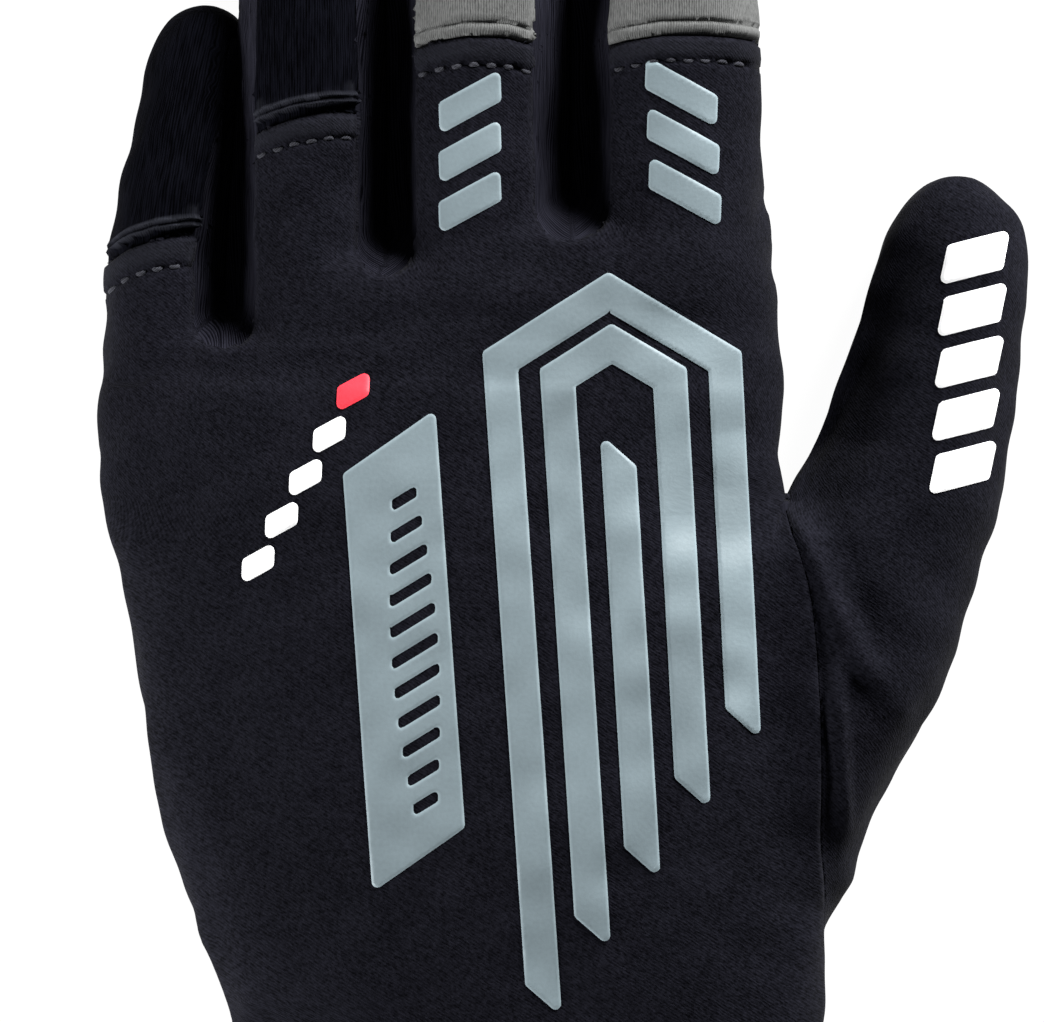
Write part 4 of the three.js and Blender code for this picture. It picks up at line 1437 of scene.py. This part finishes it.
thumb_prints = dict(print_row("thumb_print", 5, thumb_place, (1.06, 0.10), (0.02, 0.16),
                              9.5, 5.4, 0.25, 0.5))

FILM_HEIGHT = 0.32
FILM_DEPTH = 0.15
RIM_WIDTH = 0.4
CORNER_RADIUS = 0.8
SLOT_RADIUS = 0.45


def inset_outline(outline, inset):
    """An outline drawn in by the same distance all round."""
    outline = np.array(outline)
    if outline_turn(outline) < 0:
        outline = outline[::-1]
    before, after = (
        np.stack([-run[:, 1], run[:, 0]], 1) / np.linalg.norm(run, axis=1)[:, None]
        for run in (outline - np.roll(outline, 1, axis=0), np.roll(outline, -1, axis=0) - outline)
    )
    return outline + inset * (before + after) / (1 + (before * after).sum(1))[:, None]


def outline_turn(outline):
    """Twice the outline's signed area: positive when it runs anticlockwise."""
    x, y = outline.T
    return (x * np.roll(y, -1) - np.roll(x, -1) * y).sum()


def rounded_side(outline, radius):
    """Signed distance in plan to an outline with rounded corners, negative inside it."""
    core = outline_side(inset_outline(outline, radius))
    return lambda points: core(points) - radius


def subdivided(points, tris):
    """Each triangle split in four."""
    edges, number = edges_of(tris)
    middles = points[edges].mean(1)
    a, b, c = tris.T
    ab, bc, ca = (number + len(points)).T
    return np.vstack([points, middles]), np.vstack([
        np.stack(corners, 1) for corners in ((a, ab, ca), (ab, b, bc), (ca, bc, c), (ab, bc, ca))
    ])


def make_print(name, outline, source, material, slot, slots=()):
    """A film over the cloth, cut from a copy of the panel's surface to the outline."""
    side = rounded_side(outline, CORNER_RADIUS)
    slot_sides = [rounded_side(each, SLOT_RADIUS) for each in slots]

    def outside(p):
        return np.max([side(p), *(-slot_side(p) for slot_side in slot_sides)], axis=0)

    panel, panel_tris, weave = surface[source]
    near = (side(panel)[panel_tris] < 2).any(1) & (panel[panel_tris][:, :, 2].mean(1) > SIDE_SEAM_Z)
    smooth = normals_of(panel, panel_tris)
    joined, film_tris = submesh(np.hstack([panel, weave, smooth]), panel_tris[near])
    joined, film_tris = subdivided(joined, film_tris)
    joined, film_tris = cut(joined, film_tris, outside, snap=0.2)
    joined, film_tris = submesh(joined, film_tris[outside(joined[film_tris].mean(1)) < 0])
    joined, film_tris = cut(joined, film_tris, lambda p: outside(p) + RIM_WIDTH, snap=0.1)
    film, weave, normal = np.split(joined, 3, axis=1)
    normal = normal / np.linalg.norm(normal, axis=1)[:, None]
    within = np.clip(-outside(film) / RIM_WIDTH, 0, 1)
    top = film + normal * (FILM_HEIGHT * (0.5 + 0.5 * within))[:, None]
    shell, faces = thickened(top, film_tris, normal, FILM_HEIGHT + FILM_DEPTH)
    # The rim share, 1 at the outline and 0 past the bevel, carries the painted highlight
    rim = np.concatenate([1 - within, 1 - within])
    piece = make_object(name + "_film", shell, faces, material, np.vstack([weave, weave]), rim)
    piece.data.set_sharp_from_angle(angle=math.radians(45))
    dress(piece, slot, name)


for name, outline in grey_prints.items():
    slots = list(shield_slots()) if name == "shield_print" else ()
    make_print(name, outline, "back_panel", GREY_PRINT, "print_grey", slots)
for name, outline in tick_prints.items():
    red = name.endswith("5")
    material, slot = (RED_PRINT, "print_red") if red else (WHITE_PRINT, "print_white")
    make_print(name, outline, "back_panel", material, slot)
for name, outline in thumb_prints.items():
    make_print(name, outline, "thumb_back", WHITE_PRINT, "print_white")

# Floor, light and camera: a pixel of the photograph in millimetres, and what lies at its middle
PIXEL = 0.146
PHOTO_WIDTH = 1044
PHOTO_MIDDLE = (13.2, 78.0)
CAMERA_HEIGHT = 1.2
FOCUS_HEIGHT = 0.020
SENSOR = 36.0
FLOOR_HALF = 3.0


def make_floor():
    mesh = bpy.data.meshes.new("floor")
    corners = [(x * FLOOR_HALF, y * FLOOR_HALF, 0) for x, y in ((-1, -1), (1, -1), (1, 1), (-1, 1))]
    mesh.from_pydata(corners, [], [(0, 1, 2, 3)])
    floor = bpy.data.objects.new("floor", mesh)
    bpy.context.scene.collection.objects.link(floor)
    material, _, shader = new_material("floor")
    shader.inputs["Base Color"].default_value = (0.10, 0.10, 0.10, 1)
    shader.inputs["Roughness"].default_value = 0.9
    shader.inputs["Specular IOR Level"].default_value = 0.0
    shader.inputs["Emission Color"].default_value = (1, 1, 1, 1)
    shader.inputs["Emission Strength"].default_value = 0.97
    mesh.materials.append(material)
    floor.location.z = -0.0002
    floor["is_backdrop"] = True


def make_light(name, place, size, power):
    light = bpy.data.lights.new(name, "AREA")
    light.size = size
    light.energy = power
    lamp = bpy.data.objects.new(name, light)
    lamp.location = place
    lamp.rotation_euler = (-Vector(place)).to_track_quat("-Z", "Y").to_euler()
    bpy.context.scene.collection.objects.link(lamp)


def make_camera():
    camera = bpy.data.cameras.new("camera")
    target = to_frame((*PHOTO_MIDDLE, 0))
    camera.sensor_fit = "HORIZONTAL"
    camera.sensor_width = SENSOR
    camera.lens = SENSOR * (CAMERA_HEIGHT - FOCUS_HEIGHT) / (PHOTO_WIDTH * PIXEL / 1000)
    view = bpy.data.objects.new("camera", camera)
    view.location = (target[0], target[1], CAMERA_HEIGHT)
    bpy.context.scene.collection.objects.link(view)
    bpy.context.scene.camera = view


make_floor()
make_light("key", (1.65, 2.32, 0.88), 1.2, 295)
make_light("fill", (-2.45, -1.55, 0.64), 1.2, 195)
make_camera()
world = bpy.data.worlds.new("studio")
world.use_nodes = True
world.node_tree.nodes["Background"].inputs["Color"].default_value = (1, 1, 1, 1)
world.node_tree.nodes["Background"].inputs["Strength"].default_value = 0.09
bpy.context.scene.world = world
bpy.context.scene.view_settings.view_transform = "Standard"

{"cad": [list(corner) for corner in cad_box], "visual": [list(corner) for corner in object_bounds()]}
